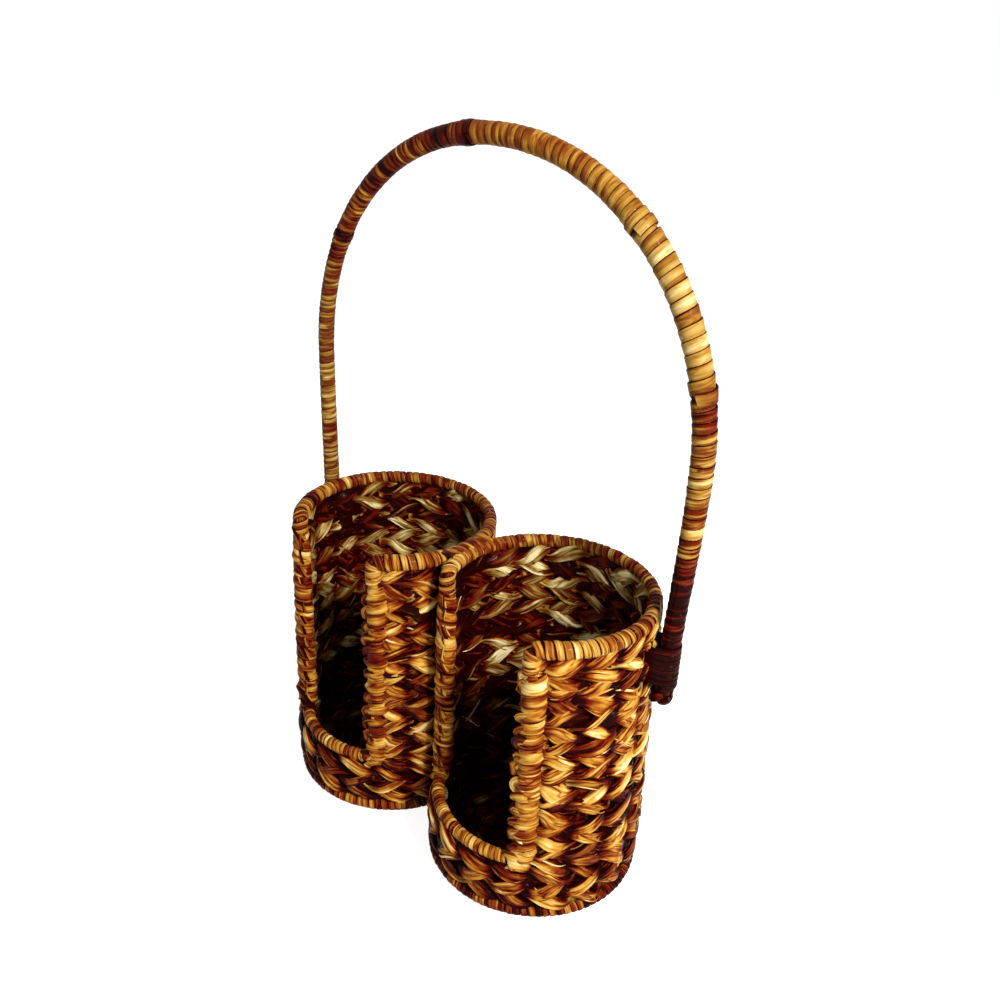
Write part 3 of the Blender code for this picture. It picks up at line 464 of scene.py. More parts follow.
def twined_strand(rng, weave, side, height, places, angles, beyond, swing, rise, row_lift, free, alike=()):
    """A strand that swings out round one stake and in round the next. A place is a whole number at a stake.

    free is 0 where the strand turns round the window's edge, and alike are pairs of stretches of one tone.
    """
    count = round(places[-1] + places[1] - 2.0 * places[0])
    phase = np.cos(np.pi * places) * swing
    stretch = weave_line(rng, weave, side, height, swing, count, True, rise)
    at = {key: at_places(value, places) for key, value in stretch.items() if key not in ("tone", "inside")}
    for pair in alike:
        stretch["tone"][list(pair)] = rng.normal(0.66, 0.1)
    share = smoothstep(height / RIM_HEIGHT)
    depth = weave.foot_depth + (weave.top_depth - weave.foot_depth) * share - 0.0007 * (1.0 - free)
    depth = depth * (0.72 + 0.28 * smoothstep((height - 0.012) / 0.010))
    middle = HOLDER_RADIUS + 0.0008 * (1.0 - share)
    radii = middle + depth * at["reach"] * phase
    heights = height + rise * at["slant"] + at["lift"] + row_lift
    angles = angles + np.degrees(beyond * depth / middle)
    full = 1.0 - free * (1.0 - np.abs(phase) ** 1.3)
    narrow = 1.0 - 0.22 * (1.0 - smoothstep((height - 0.020) / 0.02))
    widths = 0.5 * narrow * (weave.waist_width + (weave.strand_width - weave.waist_width) * full) * at["width"]
    top = 1.0 if height > RIM_HEIGHT - 0.008 else 0.0
    heights = heights - 0.0038 * top * (1.0 - free)
    widths *= 1.0 + (0.15 - 0.35 * top) * (1.0 - free)
    centres = round_holder(side, angles, heights, radii)
    outwards = holder_outwards(angles)
    outwards = outwards * np.cos(at["roll"])[:, None] + np.array([0.0, 0.0, 1.0]) * np.sin(at["roll"])[:, None]
    depths = 0.0016 + free * (0.0004 - 0.0007 * full) + 0.0004 * (1.0 - share)
    # A stretch inside the holder shows there a little way past the crossings, so its look runs on as far.
    turned = places + 0.1 * swing * np.sin(np.pi * places)
    inside = at_places(stretch["inside"], turned, 4.0) * free
    tones = at_places(stretch["tone"], turned, 4.0)
    # Painted shade: the left holder's outside is darker, more so above 3 cm, as if turned away from the light.
    if side == "left":
        tones = tones - (1.0 - inside) * (0.06 + 0.09 * smoothstep((height - 0.03) / 0.03))
    # Painted shade: strands darken towards their crossings, and both holders darken near where they meet.
    apart = np.abs((angles - PAINTED_SHADE_ANGLES[side] + 180.0) % 360.0 - 180.0)
    shades = 0.85 * (1.0 - full) ** 1.5 * free + 0.8 * (1.0 - smoothstep((apart - 10.0) / 14.0))
    looks = np.stack([tones, 0.9 * inside, shades], axis=-1)
    return Strand(centres, outwards, widths, depths, looks, True)


def wall_strands(side, weave):
    """Every strand of a holder's wall, from the foot up."""
    rng = np.random.default_rng(11 if side == "left" else 12)
    for row, height in enumerate((0.0124, 0.0200, 0.0276)):
        places = np.arange(18 * WALL_STEPS) / WALL_STEPS
        angles = LEG_ANGLES[side] + STAKE_PITCH * places
        row_lift = drift(rng, len(places), 24.0, 0.0005 * weave.unevenness, True)
        lean = 1.0 if row % 2 else -1.0
        for swing in (1.0, -1.0):
            rise = lean * weave.slant * np.sin(np.pi * places) * swing
            yield twined_strand(rng, weave, side, height, places, angles, 0.0 * places, swing, rise, row_lift,
                                np.ones(len(places)))
    low, high = SILL_HEIGHT + 0.0004, RIM_HEIGHT - 0.0070
    for row in range(weave.rows):
        height = low + (high - low) * row / (weave.rows - 1)
        stops = row_stops(side, height)
        count = len(stops) - 1
        places = np.arange((2 * count + 2) * WALL_STEPS) / WALL_STEPS
        out, back = places <= count, (places >= count + 1) & (places <= 2 * count + 1)
        stake = np.where(out, places, np.where(back, 2 * count + 1 - places, np.where(places < count + 1, count, 0.0)))
        angles = np.interp(stake, np.arange(count + 1), stops)
        beyond = np.where(out | back, 0.0, np.sin(np.pi * (places - count)) * np.where(places < count + 1, 1.0, -1.0))
        beyond = np.where(places > 2 * count + 1, -np.sin(np.pi * (places - 2 * count - 1)), beyond)
        free = smoothstep(np.minimum(stake, count - stake) / 0.8)
        gaps = np.interp(stake, np.arange(count) + 0.5, np.diff(stops)) / STAKE_PITCH
        lean = 1.0 if row % 2 else -1.0
        rise = lean * weave.slant * np.minimum(gaps, 1.0) * free * np.sin(np.pi * places) * np.where(back, -1.0, 1.0)
        rise += 0.0011 * (1.0 - free) * np.cos(np.pi * places)
        waves = drift(rng, 19 * 6, 8.0, 0.00055 * weave.unevenness)
        row_lift = np.interp(stake, np.linspace(0.0, count, len(waves)), waves)
        yield twined_strand(rng, weave, side, height, places, angles, beyond, 1.0, rise, row_lift, free,
                            ((count + 1, count), (0, 2 * count + 1)))


def edge_windings(side, weave, rng):
    """The wide strip wound round each upright edge of the window, one turn to a row, over the ends of the rows."""
    for which in (0, 1):
        angle, bend = WINDOW_ANGLES[side][which] + which * arc_angle(0.0022), SILL_HEIGHT + SILL_CORNER_RADIUS
        corner = corner_points(side, angle, -1.0 if which else 1.0, bend, -SILL_CORNER_RADIUS, np.linspace(70.0, 0.0, 7))
        line = np.concatenate([corner, round_holder(side, angle, np.linspace(bend + 0.002, RIM_HEIGHT - 0.0095, 40))])
        pitch = (RIM_HEIGHT - SILL_HEIGHT - 0.0074) / (weave.rows - 1)
        turns = round(lengths_along(line)[-1] / pitch)
        tones = (0.5, 0.62 if side == "right" else 0.54)[which] + drift(rng, 20, 2.5, 0.12)
        reach = 0.0054 - np.concatenate([[0.0012], np.linspace(0.0, 0.0004, 12), [0.0016]])
        reach = np.stack([reach, reach + 0.0010 * which], axis=-1)
        yield wind_strip(rng, line, turns, reach, 1.12 * pitch, 0.0019, tones, spread=0.12,
                         steps=18, overlap=0.14, hand=1.0 if which else -1.0, shade=0.0)


def shade_backing_strands(side):
    """A near-black layer behind the strands, so that no light shows through the wall: painted shade in the gaps."""
    for height in np.linspace(0.0065, RIM_HEIGHT - 0.004, 22):
        closed = height < SILL_HEIGHT - 0.005
        start, end = (0.0, 355.0) if closed else (edge_angle(side, height, 1) + 1.0, edge_angle(side, height, 0) + 359.0)
        angles = np.linspace(start, end, 72)
        size = np.full(72, 1.0)
        yield Strand(round_holder(side, angles, height, HOLDER_RADIUS + 0.0003), holder_outwards(angles), 0.0044 * size,
                     0.0005 * size, np.stack([0.06 * size, 0.5 * size, 0.0 * size], axis=-1), closed)
    angles = np.arange(72) * 5.0
    yield Strand(round_holder(side, angles, 0.0048, 0.0495), np.tile([0.0, 0.0, 1.0], (72, 1)), np.full(72, 0.0028),
                 np.full(72, 0.0006), np.tile([0.06, 0.5, 0.0], (72, 1)), True)


def carried_frames(line, closed=False):
    """Two directions square to a line at each point, carried along it without twist."""
    ahead = unit(np.gradient(line, axis=0))
    if closed:
        ahead = unit(np.roll(line, -1, axis=0) - np.roll(line, 1, axis=0))
    first = np.cross(ahead[0], (0.0, 0.0, 1.0) if abs(ahead[0][2]) < 0.9 else (0.0, 1.0, 0.0))
    normals = [first / np.linalg.norm(first)]
    for direction in ahead[1:]:
        normal = normals[-1] - direction * np.dot(normals[-1], direction)
        normals.append(normal / np.linalg.norm(normal))
    normals = np.array(normals)
    return normals, np.cross(ahead, normals)


def wind_strip(rng, line, turns, reach, width, thickness, tones, olives=0.0, spread=0.12, steps=STRIP_STEPS,
               hand=1.0, overlap=0.08, closed=False, shade=0.1, looseness=1.0):
    """A flat strip wound round a line.

    reach is the outer radius at even distances along the line, or its two radii for an oval. tones are the
    mean tones along it, and each turn differs from them by about the spread.
    """
    count = turns * steps + (0 if closed else 1)
    line = spread_evenly(line, turns * steps + 1)[:count]
    normals, binormals = carried_frames(line, closed)
    share = np.linspace(0.0, 1.0, count)
    reach = np.atleast_2d(np.asarray(reach, float).T).T if np.ndim(reach) == 1 else np.asarray(reach, float)
    reach = np.stack([np.interp(share, np.linspace(0.0, 1.0, len(reach)), reach[:, min(axis, reach.shape[1] - 1)])
                      for axis in range(2)], axis=-1)
    turn = hand * 2.0 * np.pi * np.arange(count) / steps
    swell = drift(rng, count, steps * 0.8, 0.022 * looseness, closed)[:, None]
    radii = reach * (1.0 + swell) - thickness / 2.0
    spokes = np.stack([np.cos(turn), np.sin(turn)], axis=-1)
    centres = line + normals * (spokes * radii)[:, :1] + binormals * (spokes * radii)[:, 1:]
    outwards = unit(normals * (spokes / radii)[:, :1] + binormals * (spokes / radii)[:, 1:])
    ahead = np.cross(normals, binormals)
    outwards = unit(outwards + ahead * (overlap + drift(rng, count, steps * 0.7, 0.05 * looseness, closed)[:, None]))
    bends = drift(rng, count, steps * 0.9, 0.045 * looseness, closed)
    widths = 0.5 * width * (1.0 + 2.0 * bends)
    centres = centres + ahead * (0.25 * width * drift(rng, count, steps * 0.7, 0.2 * looseness, closed))[:, None]
    table = rng.normal(0.0, spread, turns + 2)
    streak = np.interp(np.arange(count) / steps, np.arange(turns + 2), table)
    streak = 0.4 * streak + 0.6 * table[np.minimum((np.arange(count) / steps + rng.uniform()).astype(int), turns + 1)]
    if closed:
        streak = np.where(share > 0.995, streak[0], streak)
    mean = np.interp(share, np.linspace(0.0, 1.0, len(np.atleast_1d(tones))), np.atleast_1d(tones))
    olive = np.interp(share, np.linspace(0.0, 1.0, len(np.atleast_1d(olives))), np.atleast_1d(olives))
    looks = np.stack([mean + streak, olive, np.full(count, shade)], axis=-1)
    return Strand(centres, outwards, widths, np.full(count, thickness / 2.0), looks, closed)


def core_strand(line, reach, tone, closed=False):
    """The first layer under a winding, whose dark tone shows between its turns, partly as painted shade in the grooves.
    """
    line = spread_evenly(line, 241)[:240 if closed else 241]
    count = len(line)
    radii = np.interp(np.linspace(0.0, 1.0, count), np.linspace(0.0, 1.0, len(reach)), reach)
    looks = np.stack([np.full(count, tone), np.zeros(count), np.zeros(count)], axis=-1)
    return Strand(line, carried_frames(line, closed)[0], radii, radii, looks, closed)


def corner_points(side, angle, away, height, radius, turns):
    """Points of a bend: away is +1 or -1 along the rim, and the turns are angles up (or down) from the upright part."""
    turn = np.radians(turns)
    return round_holder(side, angle + away * arc_angle(1.0) * abs(radius) * (1.0 - np.cos(turn)),
                        height + radius * np.sin(turn))


def rim_line(side):
    """The frame wire from a little down one edge of the window, round the rim, to as far down the other."""
    first, last = WINDOW_ANGLES[side]
    inset, bend = arc_angle(RIM_CORNER_RADIUS), RIM_HEIGHT - RIM_CORNER_RADIUS
    turns = np.linspace(0.0, 90.0, 7)
    start = corner_points(side, last, 1.0, bend, RIM_CORNER_RADIUS, turns)
    end = corner_points(side, first + 360.0, -1.0, bend, RIM_CORNER_RADIUS, turns[::-1])
    around = round_holder(side, np.arange(last + inset + 2.0, first + 358.0 - inset, 2.0), RIM_HEIGHT)
    upright = np.linspace(RIM_HEIGHT - 0.0115, bend - 0.001, 5)
    return np.concatenate([round_holder(side, last, upright), start, around, end,
                           round_holder(side, first, upright[::-1])])


def sill_line(side):
    """The frame wire round the foot of the window, from the left corner to the right one."""
    first, last = WINDOW_ANGLES[side]
    inset, bend = arc_angle(SILL_CORNER_RADIUS), SILL_HEIGHT + SILL_CORNER_RADIUS
    turns = np.linspace(25.0, 90.0, 7)
    start = corner_points(side, first, 1.0, bend, -SILL_CORNER_RADIUS, turns)
    end = corner_points(side, last, -1.0, bend, -SILL_CORNER_RADIUS, turns[::-1])
    around = round_holder(side, np.arange(first + inset + 2.0, last - inset - 1.0, 2.0), SILL_HEIGHT)
    return np.concatenate([start, around, end])


def handle_foot(side):
    return round_holder(side, LEG_ANGLES[side], HANDLE_FOOT_HEIGHT, LEG_REACH["low"])


def handle_point(across, heights):
    """Points of the handle's plane, which is upright and holds both feet."""
    left, right = handle_foot("left"), handle_foot("right")
    share = (across - left[0]) / (right[0] - left[0])
    return np.stack(np.broadcast_arrays(across, left[1] + (right[1] - left[1]) * share, heights), axis=-1)


def leg_points(side, heights):
    share = (HANDLE_SPRING_HEIGHT - heights) / (HANDLE_SPRING_HEIGHT - HANDLE_FOOT_HEIGHT)
    inset = HANDLE_HALF_SPAN - abs(handle_foot(side)[0])
    return handle_point(SIDES[side] * (HANDLE_HALF_SPAN - inset * smoothstep(share)), heights)


def handle_line():
    """The middle of the handle rod, from the left foot over the arch to the right foot."""
    levels = np.linspace(HANDLE_FOOT_HEIGHT, HANDLE_SPRING_HEIGHT, 24)[:-1]
    turn = np.linspace(0.0, np.pi, 121)
    power = 2.0 / ARCH_POWER
    across = np.copysign(HANDLE_HALF_SPAN * np.abs(np.cos(turn)) ** power, -np.cos(turn))
    rise = HANDLE_SPRING_HEIGHT + (HANDLE_HEIGHT - HANDLE_SPRING_HEIGHT) * np.abs(np.sin(turn)) ** power
    return np.concatenate([leg_points("left", levels), handle_point(across, rise), leg_points("right", levels[::-1])])


class CARRIER_OT_weave_walls(bpy.types.Operator):
    """Weaves both holders' walls, and turns each row round the window's edges."""
    bl_idname = "carrier.weave_walls"
    bl_label = "Weave walls"

    def execute(self, context):
        for side in SIDES:
            body = new_body()
            rng = np.random.default_rng(21 if side == "left" else 22)
            for strand in wall_strands(side, context.scene.carrier_weave):
                crossing = len(strand.centres) // WALL_STEPS // 4 * WALL_STEPS + WALL_STEPS // 2
                lay_strand(body, strand, WALL_SIDES, rng, folds=0.33, squareness=0.72, edge_shade=1.1, fold_steps=9.0,
                           seam=crossing)
            for strand in edge_windings(side, context.scene.carrier_weave, rng):
                lay_strand(body, strand, WALL_SIDES, rng, folds=0.24, squareness=0.75, edge_shade=0.8, fold_steps=11.0)
            for strand in shade_backing_strands(side):
                lay_strand(body, strand, 6, rng)
            finish_piece(side + "_woven_wall", body, woven_leaf(), "woven_strand",
                         side + "_wall", side + "_window_left_edge", side + "_window_right_edge", crisp=CRISP_FOLD)
        return {"FINISHED"}


class CARRIER_OT_bind_rims(bpy.types.Operator):
    """Winds a strip round each rim, from one upper corner of the window to the other."""
    bl_idname = "carrier.bind_rims"
    bl_label = "Bind rims"

    def execute(self, context):
        binding = context.scene.carrier_binding
        for side in SIDES:
            rng = np.random.default_rng(31 if side == "left" else 32)
            line = rim_line(side)
            turns = round(lengths_along(line)[-1] / binding.rim_pitch)
            first, last = WINDOW_ANGLES[side]
            front = 0.5 + 0.5 * np.cos(np.radians(np.linspace(last, first + 360.0, 60)))
            reach = binding.rim_back_radius + (binding.rim_front_radius - binding.rim_back_radius) * front
            tones = 0.54 + 0.15 * front
            strand = wind_strip(rng, line, turns, reach, binding.rim_pitch * 1.06, 0.0017, tones, 0.5 - 0.45 * front,
                                spread=0.13, overlap=0.05)
            body = new_body()
            lay_strand(body, strand, STRIP_SIDES, rng, folds=0.12, edge_shade=1.3, squareness=0.85)
            lay_strand(body, core_strand(line, reach - 0.0016, 0.4), STRIP_SIDES, rng, squareness=1.0)
            finish_piece(side + "_rim_binding", body, wound_leaf(), "wrapping_strand",
                         side + "_rim_wrap", side + "_rim_wrap_front")
        return {"FINISHED"}


class CARRIER_OT_bind_junction(bpy.types.Operator):
    """Winds one strip round both rims where the holders meet."""
    bl_idname = "carrier.bind_junction"
    bl_label = "Bind junction"

    def execute(self, context):
        rng = np.random.default_rng(41)
        along = np.linspace(0.0145, -0.0150, 30)
        line = np.stack([0.0 * along, along, np.full(30, RIM_HEIGHT)], axis=-1)
        apart = HOLDER_HALF_SPACING - np.sqrt(HOLDER_RADIUS ** 2 - along ** 2)
        reach = np.stack([apart + 0.0037, np.full(30, 0.0046)], axis=-1)
        strand = wind_strip(rng, line, 9, reach, 0.0037, 0.0016, 0.6, 0.2, spread=0.1, steps=24)
        body = new_body()
        lay_strand(body, strand, STRIP_SIDES, rng, folds=0.1, edge_shade=1.3, squareness=0.65)
        finish_piece("rim_junction_binding", body, wound_leaf(), "wrapping_strand", "rim_lashing")
        return {"FINISHED"}


class CARRIER_OT_bind_sills(bpy.types.Operator):
    """Winds a thin strip round the wire at the foot of each window."""
    bl_idname = "carrier.bind_sills"
    bl_label = "Bind sills"

    def execute(self, context):
        binding = context.scene.carrier_binding
        for side in SIDES:
            rng = np.random.default_rng(51 if side == "left" else 52)
            line = sill_line(side)
            turns = round(lengths_along(line)[-1] / binding.sill_pitch)
            strand = wind_strip(rng, line, turns, np.full(2, binding.sill_radius), binding.sill_pitch * 1.04, 0.0014,
                                (0.45, 0.6, 0.7, 0.7), spread=0.1, overlap=0.05)
            body = new_body()
            lay_strand(body, strand, STRIP_SIDES, rng, folds=0.1, edge_shade=1.3)
            lay_strand(body, core_strand(line, np.full(2, binding.sill_radius - 0.0013), 0.15), STRIP_SIDES, rng,
                       squareness=1.0)
            finish_piece(side + "_sill_binding", body, wound_leaf(), "wrapping_strand", side + "_sill_wrap")
        return {"FINISHED"}


class CARRIER_OT_bind_feet(bpy.types.Operator):
    """Winds a dark strip round the hoop that each holder stands on."""
    bl_idname = "carrier.bind_feet"
    bl_label = "Bind foot rings"

    def execute(self, context):
        binding = context.scene.carrier_binding
        for side in SIDES:
            rng = np.random.default_rng(61 if side == "left" else 62)
            circle, radius = HOLDER_RADIUS + 0.0014, binding.foot_radius
            angles = np.linspace(180.0, 540.0, 181)
            turns = round(2.0 * math.pi * circle / binding.foot_pitch)
            line = round_holder(side, angles, radius, circle)
            tones = 0.44 + 0.14 * drift(rng, 40, 4.0, 1.0, True)
            strand = wind_strip(rng, line, turns, np.full(2, radius), binding.foot_pitch * 1.08, 0.0013, tones,
                                spread=0.14, steps=12, overlap=0.06, closed=True)
            body = new_body()
            lay_strand(body, strand, STRIP_SIDES, rng, folds=0.1, edge_shade=1.3)
            lay_strand(body, core_strand(line, np.full(2, radius - 0.0012), 0.12, True), STRIP_SIDES, rng, squareness=1.0)
            finish_piece(side + "_foot_binding", body, foot_leaf(), "foot_binding", side + "_foot_ring")
        return {"FINISHED"}


class CARRIER_OT_weave_floors(bpy.types.Operator):
    """Weaves each holder's floor in rings of two strands."""
    bl_idname = "carrier.weave_floors"
    bl_label = "Weave floors"

    def execute(self, context):
        pitch = context.scene.carrier_weave.floor_pitch
        for side in SIDES:
            rng = np.random.default_rng(71 if side == "left" else 72)
            body = new_body()
            for ring in range(7):
                radius = 0.0448 - pitch * ring
                count = 18 if radius > 0.02 else 12 if radius > 0.01 else 8
                places = np.arange(count * 6) / 6.0
                for swing in (1.0, -1.0):
                    phase = swing * np.cos(np.pi * places)
                    lean = 0.0009 * swing * np.sin(np.pi * places) * (1.0 if ring % 2 else -1.0)
                    angles = 360.0 * places / count + 11.0 * ring
                    centres = round_holder(side, angles, 0.0045 + 0.0007 * phase, radius + lean)
                    outwards = np.tile([0.0, 0.0, 1.0], (len(places), 1))
                    # Painted shade: the floors are mostly near black, as at the bottom of the holders, and darker where
                    # strands cross.
                    tones = rng.choice((0.06, 0.55), count, p=(0.85, 0.15))[np.floor(places + 0.5).astype(int) % count]
                    looks = np.stack([tones, np.full(len(places), 0.9), 0.7 * (1.0 - np.abs(phase))], axis=-1)
                    strand = Strand(centres, outwards, pitch * (0.42 + 0.2 * np.abs(phase)),
                                    np.full(len(places), 0.00095), looks, True)
                    lay_strand(body, strand, STRIP_SIDES, rng, folds=0.08)
            angles = np.arange(24) * 15.0
            looks = np.tile([0.1, 0.9, 0.0], (24, 1))
            lay_strand(body, Strand(round_holder(side, angles, 0.0045, 0.0023), np.tile([0.0, 0.0, 1.0], (24, 1)),
                                    np.full(24, 0.0021), np.full(24, 0.0008), looks, True), STRIP_SIDES, rng)
            finish_piece(side + "_woven_floor", body, woven_leaf(), "woven_strand", side + "_floor")
        return {"FINISHED"}


class CARRIER_OT_wrap_handle(bpy.types.Operator):
    """Wraps the handle with five strips, whose joints show as bumps and changes of colour."""
    bl_idname = "carrier.wrap_handle"
    bl_label = "Wrap handle"

    # Shares of the handle's length from its left foot, with the diameter and the mean tone there
    joints = (0.0, 0.300, 0.471, 0.634, 0.755, 1.0)
    pitches = (0.76, 0.74, 0.95, 1.25, 1.12)
    girths = ((0.0, 0.0092), (0.10, 0.0088), (0.26, 0.0087), (0.39, 0.0097), (0.471, 0.0106), (0.56, 0.0108),
              (0.634, 0.0118), (0.70, 0.0113), (0.755, 0.0113), (0.80, 0.0109), (0.864, 0.0102), (0.93, 0.0096),
              (1.0, 0.0095))
    tones = ((0.0, 0.45), (0.06, 0.72), (0.16, 0.78), (0.24, 0.66), (0.29, 0.46), (0.335, 0.40), (0.345, 0.72),
             (0.36, 0.40), (0.45, 0.44), (0.465, 0.2), (0.474, 0.2), (0.48, 0.66), (0.55, 0.74), (0.632, 0.80),
             (0.634, 0.40), (0.636, 0.88), (0.66, 0.96), (0.72, 0.96), (0.752, 0.86), (0.755, 0.35), (0.758, 0.86),
             (0.83, 0.82), (0.86, 0.62), (0.885, 0.32), (0.92, 0.08), (0.97, 0.04), (1.0, 0.06))

    def execute(self, context):
        line = handle_line()
        along = lengths_along(line)
        for number, (start, end) in enumerate(zip(self.joints, self.joints[1:]), 1):
            rng = np.random.default_rng(80 + number)
            shares = np.linspace(max(start - JOINT_LAP, 0.0), min(end + JOINT_LAP, 1.0), 200)
            part = np.stack([np.interp(shares * along[-1], along, line[:, axis]) for axis in range(3)], axis=-1)
            reach = 0.5 * np.interp(shares, *zip(*self.girths))
            for joint in self.joints[1:-1]:
                reach = reach + 0.0007 * np.exp(-((shares - joint) / 0.007) ** 2)
            reach = reach - 0.0013 * (1.0 - smoothstep((shares - start - JOINT_LAP) / JOINT_LAP / 1.5))
            tones = np.interp(shares, *zip(*self.tones)) + drift(rng, 200, 14.0, 0.07)
            pitch = context.scene.carrier_binding.handle_pitch * self.pitches[number - 1]
            turns = round(lengths_along(part)[-1] / pitch)
            olives = np.interp(shares, (0.0, 0.05, 0.25, 0.32, 0.55, 0.64, 0.8, 0.9), (0.3, 0.7, 0.7, 0.3, 0.3, 0.55, 0.5, 0.2))
            strand = wind_strip(rng, part, turns, reach, 1.27 * pitch, 0.0008, tones, olives,
                                spread=(0.1, 0.09, 0.09, 0.07, 0.12)[number - 1], overlap=0.085, looseness=0.4,
                                steps=20)
            body = new_body()
            lay_strand(body, strand, STRIP_SIDES, rng, folds=0.1, edge_shade=2.2, squareness=0.6)
            lay_strand(body, core_strand(part, reach - 0.0010, 0.1), STRIP_SIDES, rng, squareness=1.0)
            leaf = smooth_leaf() if number in (3, 4) else wound_leaf()
            finish_piece(f"handle_strip_{number}", body, leaf, "wrapping_strand", f"handle_wrap_{number}")
        return {"FINISHED"}


class CARRIER_OT_tie_handle(bpy.types.Operator):
    """Ties each leg of the handle to its holder, and knots the strand under the leg's foot."""
    bl_idname = "carrier.tie_handle"
    bl_label = "Tie handle"

    def execute(self, context):
        for side in SIDES:
            rng = np.random.default_rng(91 if side == "left" else 92)
            out, along = holder_outwards(LEG_ANGLES[side]), holder_outwards(LEG_ANGLES[side] + 90.0)
            axis = np.array([SIDES[side] * HOLDER_HALF_SPACING, 0.0, 0.0])
            turns, pitch, half = 8, 0.0029, 0.0056
            points = []
            for count in range(turns):
                loop = [(half * math.cos(turn) + LEG_REACH["low"], half * math.sin(turn))
                        for turn in np.linspace(-1.5, 1.5, 9)]
                loop += [(0.0555, half), (0.0500, half * 0.9), (LEG_REACH["wall_inside"], half * 0.5),
                         (LEG_REACH["wall_inside"], -half * 0.5), (0.0500, -half * 0.9), (0.0555, -half)]
                points += [axis + out * reach + along * across
                           + np.array([0.0, 0.0, 0.1262 + pitch * (count + step / len(loop))])
                           for step, (reach, across) in enumerate(loop)]
            line = spread_evenly(np.array(points), turns * 40)
            for _ in range(3):
                line[1:-1] = 0.25 * line[:-2] + 0.5 * line[1:-1] + 0.25 * line[2:]
            count = len(line)
            middle = axis + out * 0.056
            outwards = line - middle
            outwards[:, 2] = 0.0
            # Painted shade: the tie is mostly near black, partly its own dark leaf and partly the shade between leg and
            # wall.
            tones = drift(rng, count, 12.0, 0.2).clip(-0.1, 0.4) - 0.08
            looks = np.stack([tones, np.zeros(count), np.full(count, 0.05)], axis=-1)
            body = new_body()
            lay_strand(body, Strand(line, unit(outwards), np.full(count, 0.00165), np.full(count, 0.0008), looks, False),
                       STRIP_SIDES, rng, folds=0.08, edge_shade=0.7)
            finish_piece(side + "_leg_tie", body, wound_leaf(), "wrapping_strand", side + "_handle_tie")
            body = new_body()
            turn = np.linspace(0.0, 2.0 * np.pi, 97)[:-1]
            ring = 0.0030 + 0.0016 * np.cos(3.0 * turn)
            knot = (handle_foot(side) - out * 0.0012 + np.array([0.0, 0.0, -0.0022])
                    + (ring * np.cos(2.0 * turn))[:, None] * out + (ring * np.sin(2.0 * turn))[:, None] * along
                    + (0.0021 * np.sin(3.0 * turn))[:, None] * np.array([0.0, 0.0, 1.0]))
            looks = np.stack([drift(rng, 96, 5.0, 0.25, True), np.zeros(96), np.full(96, 0.1)], axis=-1)
            lay_strand(body, Strand(knot, unit(knot - knot.mean(axis=0)), np.full(96, 0.0022), np.full(96, 0.0017),
                                    looks, True), STRIP_SIDES, rng, folds=0.1, edge_shade=0.7)
            finish_piece(side + "_leg_knot", body, foot_leaf(), "foot_binding", side + "_handle_knot")
        return {"FINISHED"}


class CARRIER_OT_loosen_fibres(bpy.types.Operator):
    """Splits slivers off the woven strands: some lie along them and some stand a little proud, and the paler ones are
    partly painted highlights.
    """
    bl_idname = "carrier.loosen_fibres"
    bl_label = "Loosen fibres"

    def execute(self, context):
        for side in SIDES:
            rng = np.random.default_rng(95 if side == "left" else 96)
            body = new_body()
            for strand in wall_strands(side, context.scene.carrier_weave):
                peaks = [index for index in range(0, len(strand.centres), WALL_STEPS) if rng.random() < 0.62]
                for index in peaks:
                    reach = rng.integers(3, 6)
                    steps = (index + np.arange(-reach, reach + 1)) % len(strand.centres)
                    centres, outwards = strand.centres[steps], strand.outwards[steps]
                    face = 1.0 if strand.looks[index, 1] < 0.5 else -1.0
                    share = np.linspace(-1.0, 1.0, len(steps))
                    across = np.array([0.0, 0.0, 1.0])
                    height = strand.widths[index] * rng.uniform(-0.75, 0.75)
                    tilt = strand.widths[index] * rng.uniform(-0.9, 0.9)
                    proud = strand.depths[steps] * (1.02 - 0.35 * (height / strand.widths[index]) ** 2)
                    lift = rng.choice((0.0001, 0.0004, 0.0016), p=(0.6, 0.3, 0.1)) * smoothstep(share)
                    centres = (centres + outwards * (face * (proud + lift))[:, None]
                               + across * (height + tilt * share)[:, None])
                    taper = np.sqrt(np.clip(1.02 - share ** 2, 0.0, 1.0))
                    widths = rng.uniform(0.00025, 0.0008) * taper + 0.00005
                    # About half the slivers are paler than their strand: partly loose pale fibre, partly painted
                    # highlight.
                    tone = min(strand.looks[index, 0] + rng.choice((0.0, 0.35)) + rng.normal(0.0, 0.1), 0.98)
                    looks = np.stack([np.full(len(steps), tone), strand.looks[steps, 1], 0.1 + 0.0 * share], axis=-1)
                    lay_strand(body, Strand(centres, outwards * face, widths, 0.00022 * taper + 0.00004, looks, False),
                               4, rng, edge_shade=0.2)
            finish_piece(side + "_leaf_slivers", body, woven_leaf(), "woven_strand")
        return {"FINISHED"}


class CARRIER_OT_finish_wires(bpy.types.Operator):
    """Gives the wires that stay from the CAD frame their steel."""
    bl_idname = "carrier.finish_wires"
    bl_label = "Finish wires"

    def execute(self, context):
        thick = shared_material("stained_steel_wire", wire_material, 0.45)
        thin = shared_material("stained_stake_wire", wire_material, 0.5)
        for name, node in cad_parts.items():
            if not node.hide_render:
                node.material_slots[0].material = thin if "stakes" in name or "spoke" in name else thick
        return {"FINISHED"}


